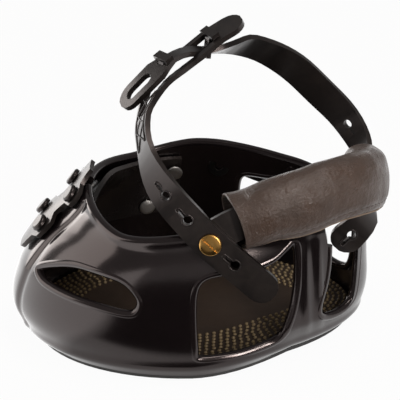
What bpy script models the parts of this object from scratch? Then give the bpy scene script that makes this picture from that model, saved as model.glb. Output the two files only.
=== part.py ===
"""Horse hoof boot with a strapped pastern ring, modelled piece by piece.

The toe points to -Y, the heel to +Y and the near side to +X. Z is up, and the boot stands on z = 0.
All lengths are in metres. A table whose name ends in shares holds parts of the sizes that it follows.
"""

import math

import bmesh
import bpy
from mathutils import Matrix, Vector

BOOT_COLLECTION = "hoof_boot"
CUTTER_COLLECTION = "cutters"

# Fits
GAP = 0.0003
OVERRUN = 0.004

# Shell
TOE_REACH = 0.087
HEEL_REACH = 0.0825
HALF_WIDTH = 0.0585
FRONT_RIM = 0.0775
WALL = 0.004
SHELL_BASE = 0.004
FLOOR_TOP = 0.008
FRONT_ROUNDNESS = 1.97
REAR_ROUNDNESS = 1.72
SHELL_STATIONS = 72
RIM_STEPS = 4

# Height share of the front rim, then toe, heel and half width shares at that height
PROFILE_SHARES = (
    (0.05, 0.9, 0.895, 0.975),
    (0.10, 0.945, 0.945, 0.995),
    (0.26, 1.0, 0.995, 1.01),
    (0.48, 0.945, 1.0, 0.99),
    (0.61, 0.87, 1.0, 0.975),
    (0.74, 0.77, 1.0, 0.95),
    (0.85, 0.655, 0.995, 0.915),
    (1.0, 0.54, 0.97, 0.86),
)
# Place along the outline from the toe (-1) to the heel (1), then the rim height share there
RIM_SHARES = (
    (-1.0, 1.0), (-0.84, 0.965), (-0.69, 0.935), (-0.55, 0.915), (-0.4, 0.918), (-0.2, 0.935),
    (0.0, 0.95), (0.15, 0.945), (0.29, 0.925), (0.41, 0.905), (0.53, 0.885), (0.65, 0.87),
    (0.74, 0.845), (0.8, 0.8), (0.88, 0.71), (0.94, 0.68), (1.0, 0.675),
)
# The wall draws in under the heel: most of all at the base, and by nothing at the top share
HEEL_TAPER_SHARE = 0.2
HEEL_TAPER_TOP_SHARE = 0.26
HEEL_TAPER_FULL_SHARE = 0.6
OUTER_LEVEL_SHARES = (0.0, 0.02, 0.06, 0.14, 0.25, 0.37, 0.49, 0.61, 0.73, 0.85, 1.0)
INNER_LEVEL_SHARES = (1.0, 0.84, 0.68, 0.52, 0.36, 0.2, 0.08, 0.0)
FLOOR_RING_SHARES = (0.6, 0.25)
NEAR_EAR_RISE = 0.0025
NEAR_EAR_LENGTH = 0.013

# Openings in the shell: shares of the heel reach and of the front rim height
QUARTER_WINDOW_SHARES = (
    (0.035, 0.165), (0.022, 0.25), (0.022, 0.45), (0.035, 0.6), (0.075, 0.68), (0.16, 0.71), (0.34, 0.71),
    (0.46, 0.73), (0.54, 0.785), (0.58, 0.81), (0.605, 0.77), (0.61, 0.66), (0.598, 0.5), (0.56, 0.33),
    (0.49, 0.2), (0.34, 0.158), (0.16, 0.15),
)
# The far quarter window is shorter, and starts further back
FAR_WINDOW_SHARE = 0.64
REAR_NOTCH_SHARES = (
    (0.765, 0.95), (0.775, 0.7), (0.755, 0.5), (0.71, 0.33), (0.725, 0.255), (0.79, 0.215),
    (0.86, 0.215), (0.91, 0.26), (0.935, 0.4), (0.95, 0.62), (0.965, 0.95),
)
# Vent corners: shares of the half width, the toe reach and the front rim height
VENT_SHARES = (
    (0.32, -0.79, 0.55), (0.47, -0.69, 0.63), (0.62, -0.56, 0.68), (0.79, -0.4, 0.68), (0.88, -0.31, 0.65),
    (0.93, -0.25, 0.56), (0.94, -0.27, 0.48), (0.91, -0.33, 0.45), (0.82, -0.49, 0.47), (0.58, -0.7, 0.49),
    (0.42, -0.78, 0.505),
)
VENT_DIRECTION_SHARES = (0.85, -0.53, 0.2)
# The far vent is shorter, to leave wall for the tongue's rivets
FAR_VENT_SHARE = 0.66
SLIT_WIDTH = 0.008
SLIT_FLOOR = 0.05

# Outsole and footbed
OUTSOLE_INSET = 0.001
LUG_HEIGHT = 0.0018
LUG_LENGTH = 0.0085
LUG_WIDTH = 0.006
LUG_INSET = 0.0065
LUG_COUNT = 34
TREAD_BAR_COUNT = 5
TREAD_BAR_HALF_LENGTH = 0.026
TREAD_BAR_WIDTH = 0.005
TREAD_BAR_STEP = 0.012
FOOTBED_THICKNESS = 0.0026
FOOTBED_CLEARANCE = 0.0006

# Straps
STRAP_WIDTH = 0.015
STRAP_THICKNESS = 0.0025
STRAP_STEP = 0.0045
KEYHOLE_RADIUS = 0.0021
KEYHOLE_SLOT_WIDTH = 0.0013
KEYHOLE_SLOT_LENGTH = 0.0058
RAIL_WIDTH = 0.0028
TONGUE_STRAP_WIDTH = 0.007

# Pivot of the pastern ring
PIVOT_Y = 0.012
NEAR_PIVOT_HEIGHT = 0.0722
FAR_PIVOT_HEIGHT = 0.057
NEAR_BOSS_PROUD = 0.00165
FAR_BOSS_PROUD = 0.00307
BOSS_RADIUS = 0.006
BARREL_RADIUS = 0.0029
BARREL_BORE = 0.0021
BARREL_FLANGE_RADIUS = 0.0052
BARREL_FLANGE = 0.0015
SPOT_FACE = 0.001
FAR_LEAD = 0.0105
HEEL_BEND_ALLOWANCE = 0.0006
PIVOT_END_MARGIN = 0.0072
SCREW_HEAD_RADIUS = 0.005
SCREW_HEAD = 0.0017
SCREW_SHANK_RADIUS = 0.0018
SCREW_SHANK_LENGTH = 0.0055
SCREW_SLOT_WIDTH = 0.0011
SCREW_SLOT_DEPTH = 0.0008

# Pastern ring: how far it reaches behind the pivot and above it
RING_HEEL_MARGIN = 0.0025
RING_REACH = HEEL_REACH - RING_HEEL_MARGIN
RING_RISE = 0.075

# Each strap route: shares of the pivot's side place, the ring reach and the ring rise, from the near pivot,
# and then the direction that the outer face looks in
NEAR_STRAP_SHARES = (
    ((1.055, 0.34, -0.35), (1.0, 0.0, 0.106)),
    ((1.025, 0.18, -0.19), (1.0, 0.0, 0.106)),
    ((1.0, 0.0, 0.0), (1.0, 0.0, 0.106)),
    ((0.975, -0.125, 0.16), (1.0, -0.03, 0.11)),
    ((0.935, -0.23, 0.305), (0.96, -0.28, 0.08)),
    ((0.86, -0.3, 0.43), (0.75, -0.66, 0.05)),
    ((0.745, -0.34, 0.525), (0.4, -0.9, 0.15)),
    ((0.59, -0.356, 0.595), (0.15, -0.93, 0.33)),
    ((0.43, -0.35, 0.65), (0.05, -0.85, 0.52)),
    ((0.17, -0.285, 0.745), (0.1, -0.55, 0.8)),
    ((-0.05, -0.17, 0.81), (0.15, -0.3, 0.93)),
    ((-0.168, -0.069, 0.861), (0.15, -0.25, 0.95)),
    ((-0.285, 0.044, 0.925), (0.17, -0.3, 0.94)),
    ((-0.36, 0.2, 1.0), (0.2, -0.3, 0.93)),
)
FAR_STRAP_SHARES = (
    ((0.21, -0.49, 0.635), (0.3, -0.7, 0.65)),
    ((0.175, -0.35, 0.775), (0.28, -0.55, 0.78)),
    ((0.07, -0.225, 0.877), (0.25, -0.45, 0.85)),
    ((-0.045, -0.146, 0.887), (0.2, -0.2, 0.96)),
    ((-0.168, -0.069, 0.861), (0.05, 0.1, 0.97)),
    ((-0.31, 0.05, 0.83), (-0.65, 0.1, 0.75)),
    ((-0.5, 0.175, 0.79), (-0.88, 0.1, 0.46)),
    ((-0.6, 0.29, 0.725), (-0.92, 0.1, 0.38)),
    ((-0.68, 0.4, 0.635), (-0.97, 0.08, 0.25)),
    ((-0.71, 0.51, 0.53), (-1.0, 0.05, 0.1)),
    ((-0.7, 0.635, 0.385), (-1.0, 0.12, 0.02)),
    ((-0.645, 0.75, 0.262), (-0.95, 0.3, 0.0)),
    ((-0.57, 0.83, 0.15), (-0.85, 0.52, 0.0)),
    ((-0.43, 0.89, 0.045), (-0.6, 0.8, 0.0)),
    ((-0.22, 0.915, -0.005), (-0.15, 0.98, 0.0)),
    ((0.0, 0.911, -0.02), (0.0, 1.0, 0.0)),
    ((0.17, 0.91, -0.06), (0.25, 0.95, 0.0)),
    ((0.3, 0.885, -0.125), (0.7, 0.7, 0.0)),
    ((0.36, 0.79, -0.215), (1.0, 0.1, 0.0)),
    ((0.345, 0.695, -0.315), (1.0, -0.05, 0.0)),
)
# The heel strap's side shares are counted from the near pivot
HEEL_STRAP_SHARES = (
    ((-0.01, 0.05, 0.045), (1.0, 0.0, 0.106)),
    ((-0.045, 0.15, 0.1), (1.0, 0.05, 0.08)),
    ((-0.15, 0.3, 0.14), (0.97, 0.25, 0.0)),
    ((-0.25, 0.5, 0.165), (0.85, 0.5, 0.0)),
    ((-0.44, 0.68, 0.15), (0.65, 0.75, 0.0)),
    ((-0.68, 0.81, 0.09), (0.45, 0.9, 0.0)),
    ((-0.87, 0.87, 0.04), (0.1, 1.0, 0.0)),
    ((-1.0, 0.874, 0.015), (0.0, 1.0, 0.0)),
    ((-1.13, 0.87, -0.02), (-0.1, 1.0, 0.0)),
    ((-1.29, 0.85, -0.085), (-0.35, 0.93, 0.0)),
    ((-1.49, 0.78, -0.175), (-0.6, 0.78, 0.0)),
    ((-1.69, 0.63, -0.265), (-0.78, 0.6, 0.0)),
    ((-1.84, 0.47, -0.285), (-0.88, 0.45, 0.0)),
    ((-1.965, 0.29, -0.25), (-0.96, 0.25, -0.05)),
)
HEEL_JOINT_INNER_SHARES = (0.0, 0.874, 0.0)
HEEL_JOINT_OUTER_SHARES = (0.0, 0.911, 0.0)
SLEEVE_SHARES = (
    (0.865, 0.13, 0.088), (0.856, 0.235, 0.112), (0.838, 0.338, 0.143), (0.768, 0.499, 0.163),
    (0.618, 0.668, 0.172), (0.459, 0.793, 0.148), (0.247, 0.868, 0.09), (0.0, 0.885, 0.025),
    (-0.2, 0.87, -0.03),
)
SLEEVE_START_DEPTH = 0.0117
SLEEVE_END_DEPTH = 0.0105
SLEEVE_START_HEIGHT = 0.0123
SLEEVE_FULL_HEIGHT = 0.0149
SLEEVE_FULL_SHARE = 0.4
SLEEVE_ROUNDNESS = 2.35
SLEEVE_WALL = 0.0015
SLEEVE_CUT_SKEW = 0.004
SLEEVE_SKEW_LENGTH = 0.02
SLEEVE_HEM_DEGREES = (-80.0, -62.0, -48.0, -50.0, -62.0)
SLEEVE_INNER_DEGREES = 212.0
SLEEVE_ARC_STEPS = 16
PAD_THICKNESS = 0.0025
PAD_WIDTH = 0.013

# Where the long slot, the blocks and the keyholes lie, as shares of each strap's length
NEAR_SLOT_SHARES = (0.6, 0.92)
FAR_LOOP_SLOT_SHARES = (0.02, 0.085)
FAR_NARROW_SHARES = (0.105, 0.13, 0.235, 0.26)
FRONT_HOOK_SHARE = 0.125
REAR_HOOK_SHARE = 0.265
NEAR_KEYHOLE_PITCH = 0.0148
FAR_KEYHOLE_SHARES = (0.64, 0.955)
PAD_START_SHARE = 0.18
PAD_END_CLEARANCE = 0.002

# Closure hooks
HOOK_HEAD_LENGTH = 0.0042
HOOK_HEAD_WIDTH = 0.0108
HOOK_HEAD_HEIGHT = 0.0022
HOOK_PRONG_WIDTH = 0.004
HOOK_PRONG_THICKNESS = 0.0022
FRONT_PRONG_LENGTH = 0.0095
REAR_PRONG_LENGTH = 0.0115
HOOK_SLOT_CLEARANCE = 0.0005
PRONG_DIRECTION_SHARES = (0.2, -0.17, -0.96)

# Front strap, knobs and rivets
FRONT_PLATE_PROUD = 0.0019
FRONT_PLATE_THICKNESS = 0.0022
FRONT_PLATE_HALF_WIDTH = 0.0135
FRONT_PLATE_COLUMNS = 8
# Height share of the front rim, then half width share of the plate
FRONT_PLATE_SHARES = (
    (0.565, 0.32), (0.58, 0.42), (0.62, 0.5), (0.66, 0.6), (0.685, 0.95), (0.73, 1.0), (0.775, 0.95),
    (0.8, 0.56), (0.84, 0.52), (0.865, 0.56), (0.885, 0.95), (0.93, 1.0), (0.97, 0.93), (0.995, 0.55),
    (1.03, 0.42), (1.07, 0.36),
)
KNOB_HEIGHT_SHARES = (0.73, 0.925)
KNOB_OFFSET = 0.008
KNOB_RADIUS = 0.0043
KNOB_CAP = 0.0023
KNOB_NECK_RADIUS = 0.0022
KNOB_SPACER_RADIUS = 0.0034
KNOB_WALL_DEPTH = 0.0034
RIVET_HEAD_RADIUS = 0.0036
RIVET_HEAD = 0.0012

# Tongue
TONGUE_THICKNESS = 0.0022
TONGUE_FRONT_GAP = 0.0042
TONGUE_SIDE_GAP = 0.0007
TONGUE_STATIONS = 26
TONGUE_LEVELS = 6
# Angle round the outline in degrees from the near side, then lower and upper height shares
TONGUE_NEAR_DEGREES = -42.0
TONGUE_FAR_DEGREES = -173.0
TONGUE_LOWER_SHARES = (0.72, 0.58, 0.5, 0.45, 0.44)
TONGUE_UPPER_SHARES = (0.86, 0.9, 0.95, 0.88, 0.84)
TONGUE_RIVET_SHARES = ((0.17, 0.76), (0.28, 0.65), (0.33, 0.51))
TONGUE_RIVET_RADIUS = 0.004
TONGUE_RIVET_HEAD = 0.0014
TONGUE_RIVET_SHANK = 0.0017
TONGUE_RIVET_TAIL_RADIUS = 0.003
TONGUE_RIVET_TAIL = 0.001

# Meshing
MERGE_DISTANCE = 0.00001
ROUND_SIDES = 24
SMALL_SIDES = 16
SPAN_STEPS = 12
OUTLINE_STEPS = 4

COLOURS = {
    "shell": ((0.02, 0.016, 0.017), 0.22, 0.0),
    "tread": ((0.018, 0.017, 0.017), 0.6, 0.0),
    "footbed": ((0.05, 0.035, 0.03), 0.6, 0.0),
    "strap": ((0.016, 0.015, 0.016), 0.32, 0.0),
    "sleeve": ((0.105, 0.082, 0.068), 0.7, 0.0),
    "foam": ((0.03, 0.028, 0.028), 0.9, 0.0),
    "brass": ((0.72, 0.48, 0.16), 0.25, 1.0),
    "blackened": ((0.03, 0.03, 0.03), 0.4, 1.0),
    "steel": ((0.55, 0.54, 0.53), 0.3, 1.0),
}


def clear_scene():
    """Remove every object that the file holds."""
    for old in list(bpy.data.objects):
        bpy.data.objects.remove(old, do_unlink=True)


def new_collection(name):
    """Make a collection under the scene's own one."""
    collection = bpy.data.collections.new(name)
    bpy.context.scene.collection.children.link(collection)
    return collection


def make_materials():
    """Make one Principled material for each named colour."""
    made = {}
    for name, (colour, roughness, metallic) in COLOURS.items():
        material = bpy.data.materials.new(name)
        material.use_nodes = True
        shader = material.node_tree.nodes["Principled BSDF"]
        shader.inputs["Base Color"].default_value = (*colour, 1.0)
        shader.inputs["Roughness"].default_value = roughness
        shader.inputs["Metallic"].default_value = metallic
        made[name] = material
    return made


def spline(points, share):
    """Return the value at a share of the way along a smooth curve through points."""
    spans = len(points) - 1
    place = min(max(share, 0.0), 1.0) * spans
    index = min(int(place), spans - 1)
    t = place - index
    before = points[max(index - 1, 0)]
    start = points[index]
    end = points[index + 1]
    after = points[min(index + 2, spans)]
    return (start * 2 + (end - before) * t + (before * 2 - start * 5 + end * 4 - after) * t * t
            + (start * 3 - before - end * 3 + after) * t * t * t) * 0.5


def table_value(table, key, column):
    """Read a column of a table of shares at a key, smoothly between rows and straight beyond them."""
    if key <= table[0][0]:
        low, high = table[0], table[1]
    elif key >= table[-1][0]:
        low, high = table[-2], table[-1]
    else:
        row = next(i for i in range(len(table) - 1) if table[i + 1][0] >= key)
        low, high = table[row], table[row + 1]
        before = table[max(row - 1, 0)]
        after = table[min(row + 2, len(table) - 1)]
        width = high[0] - low[0]
        t = (key - low[0]) / width
        start_slope = (high[column] - before[column]) / (high[0] - before[0]) * width
        end_slope = (after[column] - low[column]) / (after[0] - low[0]) * width
        return ((2 * t ** 3 - 3 * t ** 2 + 1) * low[column] + (t ** 3 - 2 * t ** 2 + t) * start_slope
                + (3 * t ** 2 - 2 * t ** 3) * high[column] + (t ** 3 - t ** 2) * end_slope)
    return low[column] + (high[column] - low[column]) * (key - low[0]) / (high[0] - low[0])


def power(value, exponent):
    """Raise a signed value to an exponent and keep its sign."""
    return math.copysign(abs(value) ** exponent, value)


def outline_point(angle, height, inset=0.0):
    """Return the shell's outer wall at an angle from the near side, at a height, moved in by inset."""
    share = height / FRONT_RIM
    roundness = REAR_ROUNDNESS if angle_is_rear(angle) else FRONT_ROUNDNESS
    reach = HEEL_REACH * table_value(PROFILE_SHARES, share, 2)
    if not angle_is_rear(angle):
        reach = TOE_REACH * table_value(PROFILE_SHARES, share, 1)
    along = power(math.sin(angle), 2 / roundness)
    x = (half_width(share, along) - inset) * power(math.cos(angle), 2 / roundness)
    return Vector((x, (reach - inset) * along, height))


def half_width(share, along):
    """Return the shell's half width at a height share; along runs from the middle (0) to the heel (1)."""
    low = max(0.0, 1 - share / HEEL_TAPER_TOP_SHARE)
    rear = min(1.0, max(0.0, along) / HEEL_TAPER_FULL_SHARE)
    return HALF_WIDTH * (table_value(PROFILE_SHARES, share, 3) - HEEL_TAPER_SHARE * (low * rear ** 2))


def angle_is_rear(angle):
    """Tell whether an angle from the near side lies in the heel half."""
    return math.sin(angle) >= 0.0


def wall_x(y, height, inset=0.0):
    """Return the shell's outer half width at a place along its length."""
    share = height / FRONT_RIM
    if y >= 0:
        reach = HEEL_REACH * table_value(PROFILE_SHARES, share, 2) - inset
        half = half_width(share, y / reach) - inset
        return half * (1 - (y / reach) ** REAR_ROUNDNESS) ** (1 / REAR_ROUNDNESS)
    half = half_width(share, 0.0) - inset
    reach = TOE_REACH * table_value(PROFILE_SHARES, share, 1) - inset
    return half * (1 - (-y / reach) ** FRONT_ROUNDNESS) ** (1 / FRONT_ROUNDNESS)


def toe_point(x, height, inset=0.0):
    """Return the toe's outer face at a side place and a height."""
    share = height / FRONT_RIM
    half = half_width(share, 0.0) - inset
    reach = TOE_REACH * table_value(PROFILE_SHARES, share, 1) - inset
    y = -reach * (1 - abs(x / half) ** FRONT_ROUNDNESS) ** (1 / FRONT_ROUNDNESS)
    return Vector((x, y, height))


def toe_normal(x, height):
    """Return the outward direction of the toe's face at a side place and a height."""
    sideways = toe_point(x + WALL, height) - toe_point(x - WALL, height)
    upward = toe_point(x, height + WALL) - toe_point(x, height - WALL)
    return sideways.cross(upward).normalized()


def wall_normal(angle, height):
    """Return the outward direction of the shell's wall."""
    step = math.radians(2)
    sideways = outline_point(angle + step, height) - outline_point(angle - step, height)
    upward = outline_point(angle, height + WALL) - outline_point(angle, height - WALL)
    return sideways.cross(upward).normalized()


def rim_height(angle):
    """Return the height of the shell's rim at an angle from the near side."""
    roundness = REAR_ROUNDNESS if angle_is_rear(angle) else FRONT_ROUNDNESS
    share = power(math.sin(angle), 2 / roundness)
    height = FRONT_RIM * table_value(RIM_SHARES, share, 1)
    if math.cos(angle) > 0:
        offset = (share * HEEL_REACH - PIVOT_Y) / NEAR_EAR_LENGTH
        if abs(offset) < 1:
            height += NEAR_EAR_RISE * math.cos(offset * math.pi / 2) ** 2
    return height


def link(obj, collection, material=None):
    """Put an object in a collection and give it a material."""
    collection.objects.link(obj)
    if material is not None:
        obj.data.materials.clear()
        obj.data.materials.append(material)
    return obj


def smooth(obj, degrees=35.0):
    """Shade an object smooth except at its sharp edges."""
    obj.data.shade_smooth()
    obj.data.set_sharp_from_angle(angle=math.radians(degrees))
    return obj


def object_from_bmesh(name, mesh, collection, material=None):
    """Turn a bmesh into an object with its faces pointing out."""
    bmesh.ops.recalc_face_normals(mesh, faces=mesh.faces)
    data = bpy.data.meshes.new(name)
    mesh.to_mesh(data)
    mesh.free()
    return link(bpy.data.objects.new(name, data), collection, material)


def loft(name, rings, collection, material=None, triangles=False):
    """Join rings of points into a closed body, in triangles where its faces twist."""
    mesh = bmesh.new()
    rows = [[mesh.verts.new(point) for point in ring] for ring in rings]
    count = len(rows[0])
    for lower, upper in zip(rows, rows[1:]):
        for i in range(count):
            j = (i + 1) % count
            mesh.faces.new((lower[i], lower[j], upper[j], upper[i]))
    mesh.faces.new(rows[0])
    mesh.faces.new(rows[-1])
    if triangles:
        bmesh.ops.triangulate(mesh, faces=mesh.faces)
    return object_from_bmesh(name, mesh, collection, material)


def sheet(name, rows, thickness, side, collection, material):
    """Make a plate from rows of points with a Solidify modifier; side 1 grows it along its faces' outside."""
    mesh = bmesh.new()
    grid = [[mesh.verts.new(point) for point in row] for row in rows]
    for lower, upper in zip(grid, grid[1:]):
        for i in range(len(lower) - 1):
            mesh.faces.new((lower[i], lower[i + 1], upper[i + 1], upper[i]))
    data = bpy.data.meshes.new(name)
    mesh.to_mesh(data)
    mesh.free()
    obj = link(bpy.data.objects.new(name, data), collection, material)
    thicken = obj.modifiers.new("thickness", "SOLIDIFY")
    thicken.thickness = thickness
    thicken.offset = side
    thicken.use_even_offset = False
    return obj


def frame_matrix(origin, direction, sideways=None):
    """Return a matrix whose Z runs along a direction and whose X leans to sideways."""
    z_axis = Vector(direction).normalized()
    guess = Vector(sideways) if sideways is not None else Vector((0, 0, 1))
    if abs(guess.normalized().dot(z_axis)) > 0.95:
        guess = Vector((0, 1, 0))
    x_axis = (guess - z_axis * guess.dot(z_axis)).normalized()
    y_axis = z_axis.cross(x_axis)
    matrix = Matrix((x_axis, y_axis, z_axis)).transposed().to_4x4()
    matrix.translation = origin
    return matrix


def place_mesh(name, mesh, matrix, collection, material=None):
    """Make an object from a bmesh in its own frame and set it in place."""
    obj = object_from_bmesh(name, mesh, collection, material)
    obj.matrix_world = matrix
    return obj


def rod(name, matrix, radius, start, end, collection, material=None, sides=ROUND_SIDES):
    """Make a cylinder along a frame's Z from start to end."""
    mesh = bmesh.new()
    shift = Matrix.Translation((0, 0, (start + end) / 2))
    bmesh.ops.create_cone(mesh, cap_ends=True, segments=sides, radius1=radius, radius2=radius,
                          depth=end - start, matrix=shift)
    return place_mesh(name, mesh, matrix, collection, material)


def block(name, matrix, size, centre, collection, material=None):
    """Make a box of a size about a centre in a frame."""
    mesh = bmesh.new()
    scale = Matrix.Diagonal((*size, 1.0))
    bmesh.ops.create_cube(mesh, size=1.0, matrix=Matrix.Translation(centre) @ scale)
    return place_mesh(name, mesh, matrix, collection, material)


def turned(name, profile, matrix, collection, material, sides=ROUND_SIDES):
    """Spin a profile of radius and height, listed down its outer side, about a frame's Z.

    A profile that starts off the axis is closed into a loop.
    """
    mesh = bmesh.new()
    corners = [mesh.verts.new((radius, 0.0, height)) for radius, height in profile]
    if profile[0][0] > 0:
        corners.append(corners[0])
    for upper, lower in zip(corners, corners[1:]):
        mesh.edges.new((upper, lower))
    data = bpy.data.meshes.new(name)
    mesh.to_mesh(data)
    mesh.free()
    obj = link(bpy.data.objects.new(name, data), collection, material)
    spin = obj.modifiers.new("turning", "SCREW")
    spin.axis = "Z"
    spin.angle = math.tau
    spin.steps = sides
    spin.render_steps = sides
    spin.use_merge_vertices = True
    spin.merge_threshold = MERGE_DISTANCE
    obj.matrix_world = matrix
    return obj


def smooth_outline(points):
    """Return a closed outline that runs smoothly through 2D points."""
    count = len(points)
    result = []
    for i in range(count):
        run = [Vector(points[(i + k) % count]) for k in (-1, 0, 1, 2)]
        for step in range(OUTLINE_STEPS):
            result.append(spline(run, (1 + step / OUTLINE_STEPS) / 3))
    return result


def outline_prism(name, points, half_depth, matrix, collection, material=None):
    """Extrude a closed 2D outline both ways from a frame's XY plane and return it as a mesh object."""
    curve = bpy.data.curves.new(name, "CURVE")
    curve.dimensions = "2D"
    curve.fill_mode = "BOTH"
    curve.extrude = half_depth
    line = curve.splines.new("POLY")
    line.points.add(len(points) - 1)
    for knot, point in zip(line.points, points):
        knot.co = (point[0], point[1], 0.0, 1.0)
    line.use_cyclic_u = True
    temporary = bpy.data.objects.new(name + "_curve", curve)
    bpy.context.scene.collection.objects.link(temporary)
    evaluated = temporary.evaluated_get(bpy.context.evaluated_depsgraph_get())
    data = bpy.data.meshes.new_from_object(evaluated)
    bpy.data.objects.remove(temporary, do_unlink=True)
    mesh = bmesh.new()
    mesh.from_mesh(data)
    bmesh.ops.remove_doubles(mesh, verts=mesh.verts, dist=MERGE_DISTANCE)
    obj = place_mesh(name, mesh, matrix, collection, material)
    return obj


def as_cutter(obj):
    """Show an object as a wire guide that isn't part of the model."""
    obj.hide_render = True
    obj.display_type = "WIRE"
    return obj


def combine(obj, other, operation):
    """Add a Boolean modifier of another object."""
    step = obj.modifiers.new(other.name, "BOOLEAN")
    step.operation = operation
    step.object = other
    step.solver = "EXACT"
    return obj


def cut(obj, cutter):
    """Cut one object out of another."""
    return combine(obj, as_cutter(cutter), "DIFFERENCE")


def add(obj, extra):
    """Join an object to another as one body."""
    return combine(obj, as_cutter(extra), "UNION")


class Route:
    """A strap's centre line, with its outer face's direction all along it."""

    def __init__(self, points, normals):
        count = (len(points) - 1) * SPAN_STEPS
        self.places = [spline(points, i / count) for i in range(count + 1)]
        self.normals = [spline(normals, i / count).normalized() for i in range(count + 1)]
        self.lengths = [0.0]
        for start, end in zip(self.places, self.places[1:]):
            self.lengths.append(self.lengths[-1] + (end - start).length)
        self.length = self.lengths[-1]

    def at(self, share):
        """Return place, along, across and outward direction at a share of the length."""
        target = min(max(share, 0.0), 1.0) * self.length
        index = next(i for i in range(len(self.lengths) - 1) if self.lengths[i + 1] >= target - 1e-12)
        span = self.lengths[index + 1] - self.lengths[index]
        t = (target - self.lengths[index]) / span
        place = self.places[index].lerp(self.places[index + 1], t)
        low = max(index - 1, 0)
        high = min(index + 2, len(self.places) - 1)
        along = (self.places[high] - self.places[low]).normalized()
        outward = self.normals[index].lerp(self.normals[index + 1], t)
        outward = (outward - along * outward.dot(along)).normalized()
        return place, along, outward.cross(along), outward

    def share_near(self, point):
        """Return the share of the length that lies nearest to a point."""
        best = min(range(len(self.places)), key=lambda i: (self.places[i] - point).length)
        return self.lengths[best] / self.length


def ribbon(name, route, span, half_width, thickness, collection, material=None, rounded=(True, True),
           lift=0.0):
    """Make a strap between two shares of a route; half_width is a function of the share."""
    start, end = span
    run = (end - start) * route.length
    count = max(4, round(run / STRAP_STEP))
    marks = [(i / count * run, 1.0) for i in range(count + 1)]
    for mirrored, wanted in zip((False, True), rounded):
        if not wanted:
            continue
        half = half_width(end if mirrored else start)
        marks = [m for m in marks if (run - m[0] if mirrored else m[0]) > half * 1.05]
        for degrees in (16, 34, 52, 70, 90):
            offset = half * (1 - math.cos(math.radians(degrees)))
            factor = math.sin(math.radians(degrees))
            marks.append((run - offset if mirrored else offset, factor))
    rings = []
    for mark, factor in sorted(marks):
        share = start + mark / route.length
        place, _, across, outward = route.at(share)
        side = across * half_width(share) * factor
        up = outward * (thickness / 2)
        middle = place + outward * lift
        rings.append([middle - side - up, middle + side - up, middle + side + up, middle - side + up])
    return loft(name, rings, collection, material, triangles=True)


def constant(value):
    """Return a function that always gives a value."""
    return lambda share: value


def ring_point(shares):
    """Turn shares of the ring's sizes into a place, measured from the near pivot."""
    side, reach, rise = shares
    return Vector((side * near_pivot().x, PIVOT_Y + reach * RING_REACH, NEAR_PIVOT_HEIGHT + rise * RING_RISE))


def near_stack():
    """Return how far the near strap's middle lies outside the boss face."""
    return GAP + STRAP_THICKNESS + GAP + STRAP_THICKNESS / 2


def near_pivot():
    """Return the near pivot's place, in the middle of the near pastern strap."""
    return Vector((wall_x(PIVOT_Y, NEAR_PIVOT_HEIGHT) + NEAR_BOSS_PROUD + near_stack(), PIVOT_Y,
                   NEAR_PIVOT_HEIGHT))


def far_pivot():
    """Return the far pivot's place, in the middle of the heel strap's end."""
    out = wall_x(PIVOT_Y, FAR_PIVOT_HEIGHT) + FAR_BOSS_PROUD + GAP + STRAP_THICKNESS / 2
    return Vector((-out, PIVOT_Y, FAR_PIVOT_HEIGHT))


def pivot_axis():
    """Return the direction of the ring's pivot, from the far side to the near side."""
    return (near_pivot() - far_pivot()).normalized()


def strap_route(table):
    """Return the route of one of the ring's straps."""
    return Route([ring_point(place) for place, _ in table], [Vector(normal) for _, normal in table])


def heel_route():
    """Return the heel strap's route, from the near pivot round the heel to the far one."""
    start = near_pivot() - pivot_axis() * (STRAP_THICKNESS + GAP)
    points = [start]
    normals = [pivot_axis()]
    for (side, reach, rise), normal in HEEL_STRAP_SHARES:
        points.append(ring_point((1.0 + side, reach, rise)))
        normals.append(Vector(normal))
    for point in points[1:3]:
        point.x = start.x - (point.z - start.z) * pivot_axis().z
    for lead in (FAR_LEAD, 0.0, -PIVOT_END_MARGIN):
        points.append(far_pivot() + Vector((0, lead, 0)))
        normals.append(-pivot_axis())
    margin = (start - points[1]).normalized() * PIVOT_END_MARGIN
    points.insert(0, start + margin)
    normals.insert(0, pivot_axis())
    return Route(points, normals)


def sleeve_axis():
    """Return the middle line of the gaiter sleeve."""
    points = [ring_point(place) for place in SLEEVE_SHARES]
    return Route(points, [Vector((0, 0, 1))] * len(points))


def build_shell(parts, cutters, materials):
    """Model the moulded shell with its windows, notches, slit and screw holes."""
    angles = [math.tau * i / SHELL_STATIONS for i in range(SHELL_STATIONS)]
    rings = []
    for share in OUTER_LEVEL_SHARES:
        ring = []
        for angle in angles:
            top = rim_height(angle) - WALL / 2
            ring.append(outline_point(angle, SHELL_BASE + (top - SHELL_BASE) * share))
        rings.append(ring)
    for step in range(1, RIM_STEPS):
        turn = math.pi * step / RIM_STEPS
        inset = WALL / 2 * (1 - math.cos(turn))
        rise = WALL / 2 * math.sin(turn)
        ring = []
        for angle in angles:
            top = rim_height(angle) - WALL / 2
            point = outline_point(angle, top, inset)
            ring.append(point + Vector((0, 0, rise)))
        rings.append(ring)
    for share in INNER_LEVEL_SHARES:
        ring = []
        for angle in angles:
            top = rim_height(angle) - WALL / 2
            ring.append(outline_point(angle, FLOOR_TOP + (top - FLOOR_TOP) * share, WALL))
        rings.append(ring)
    for share in FLOOR_RING_SHARES:
        floor_ring = [outline_point(angle, FLOOR_TOP, WALL) * share for angle in angles]
        rings.append([Vector((point.x, point.y, FLOOR_TOP)) for point in floor_ring])
    shell = loft("shell", rings, parts, materials["shell"])
    add_bosses(shell, cutters)
    cut_windows(shell, cutters)
    cut_shell_holes(shell, cutters)
    return smooth(shell)


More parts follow.
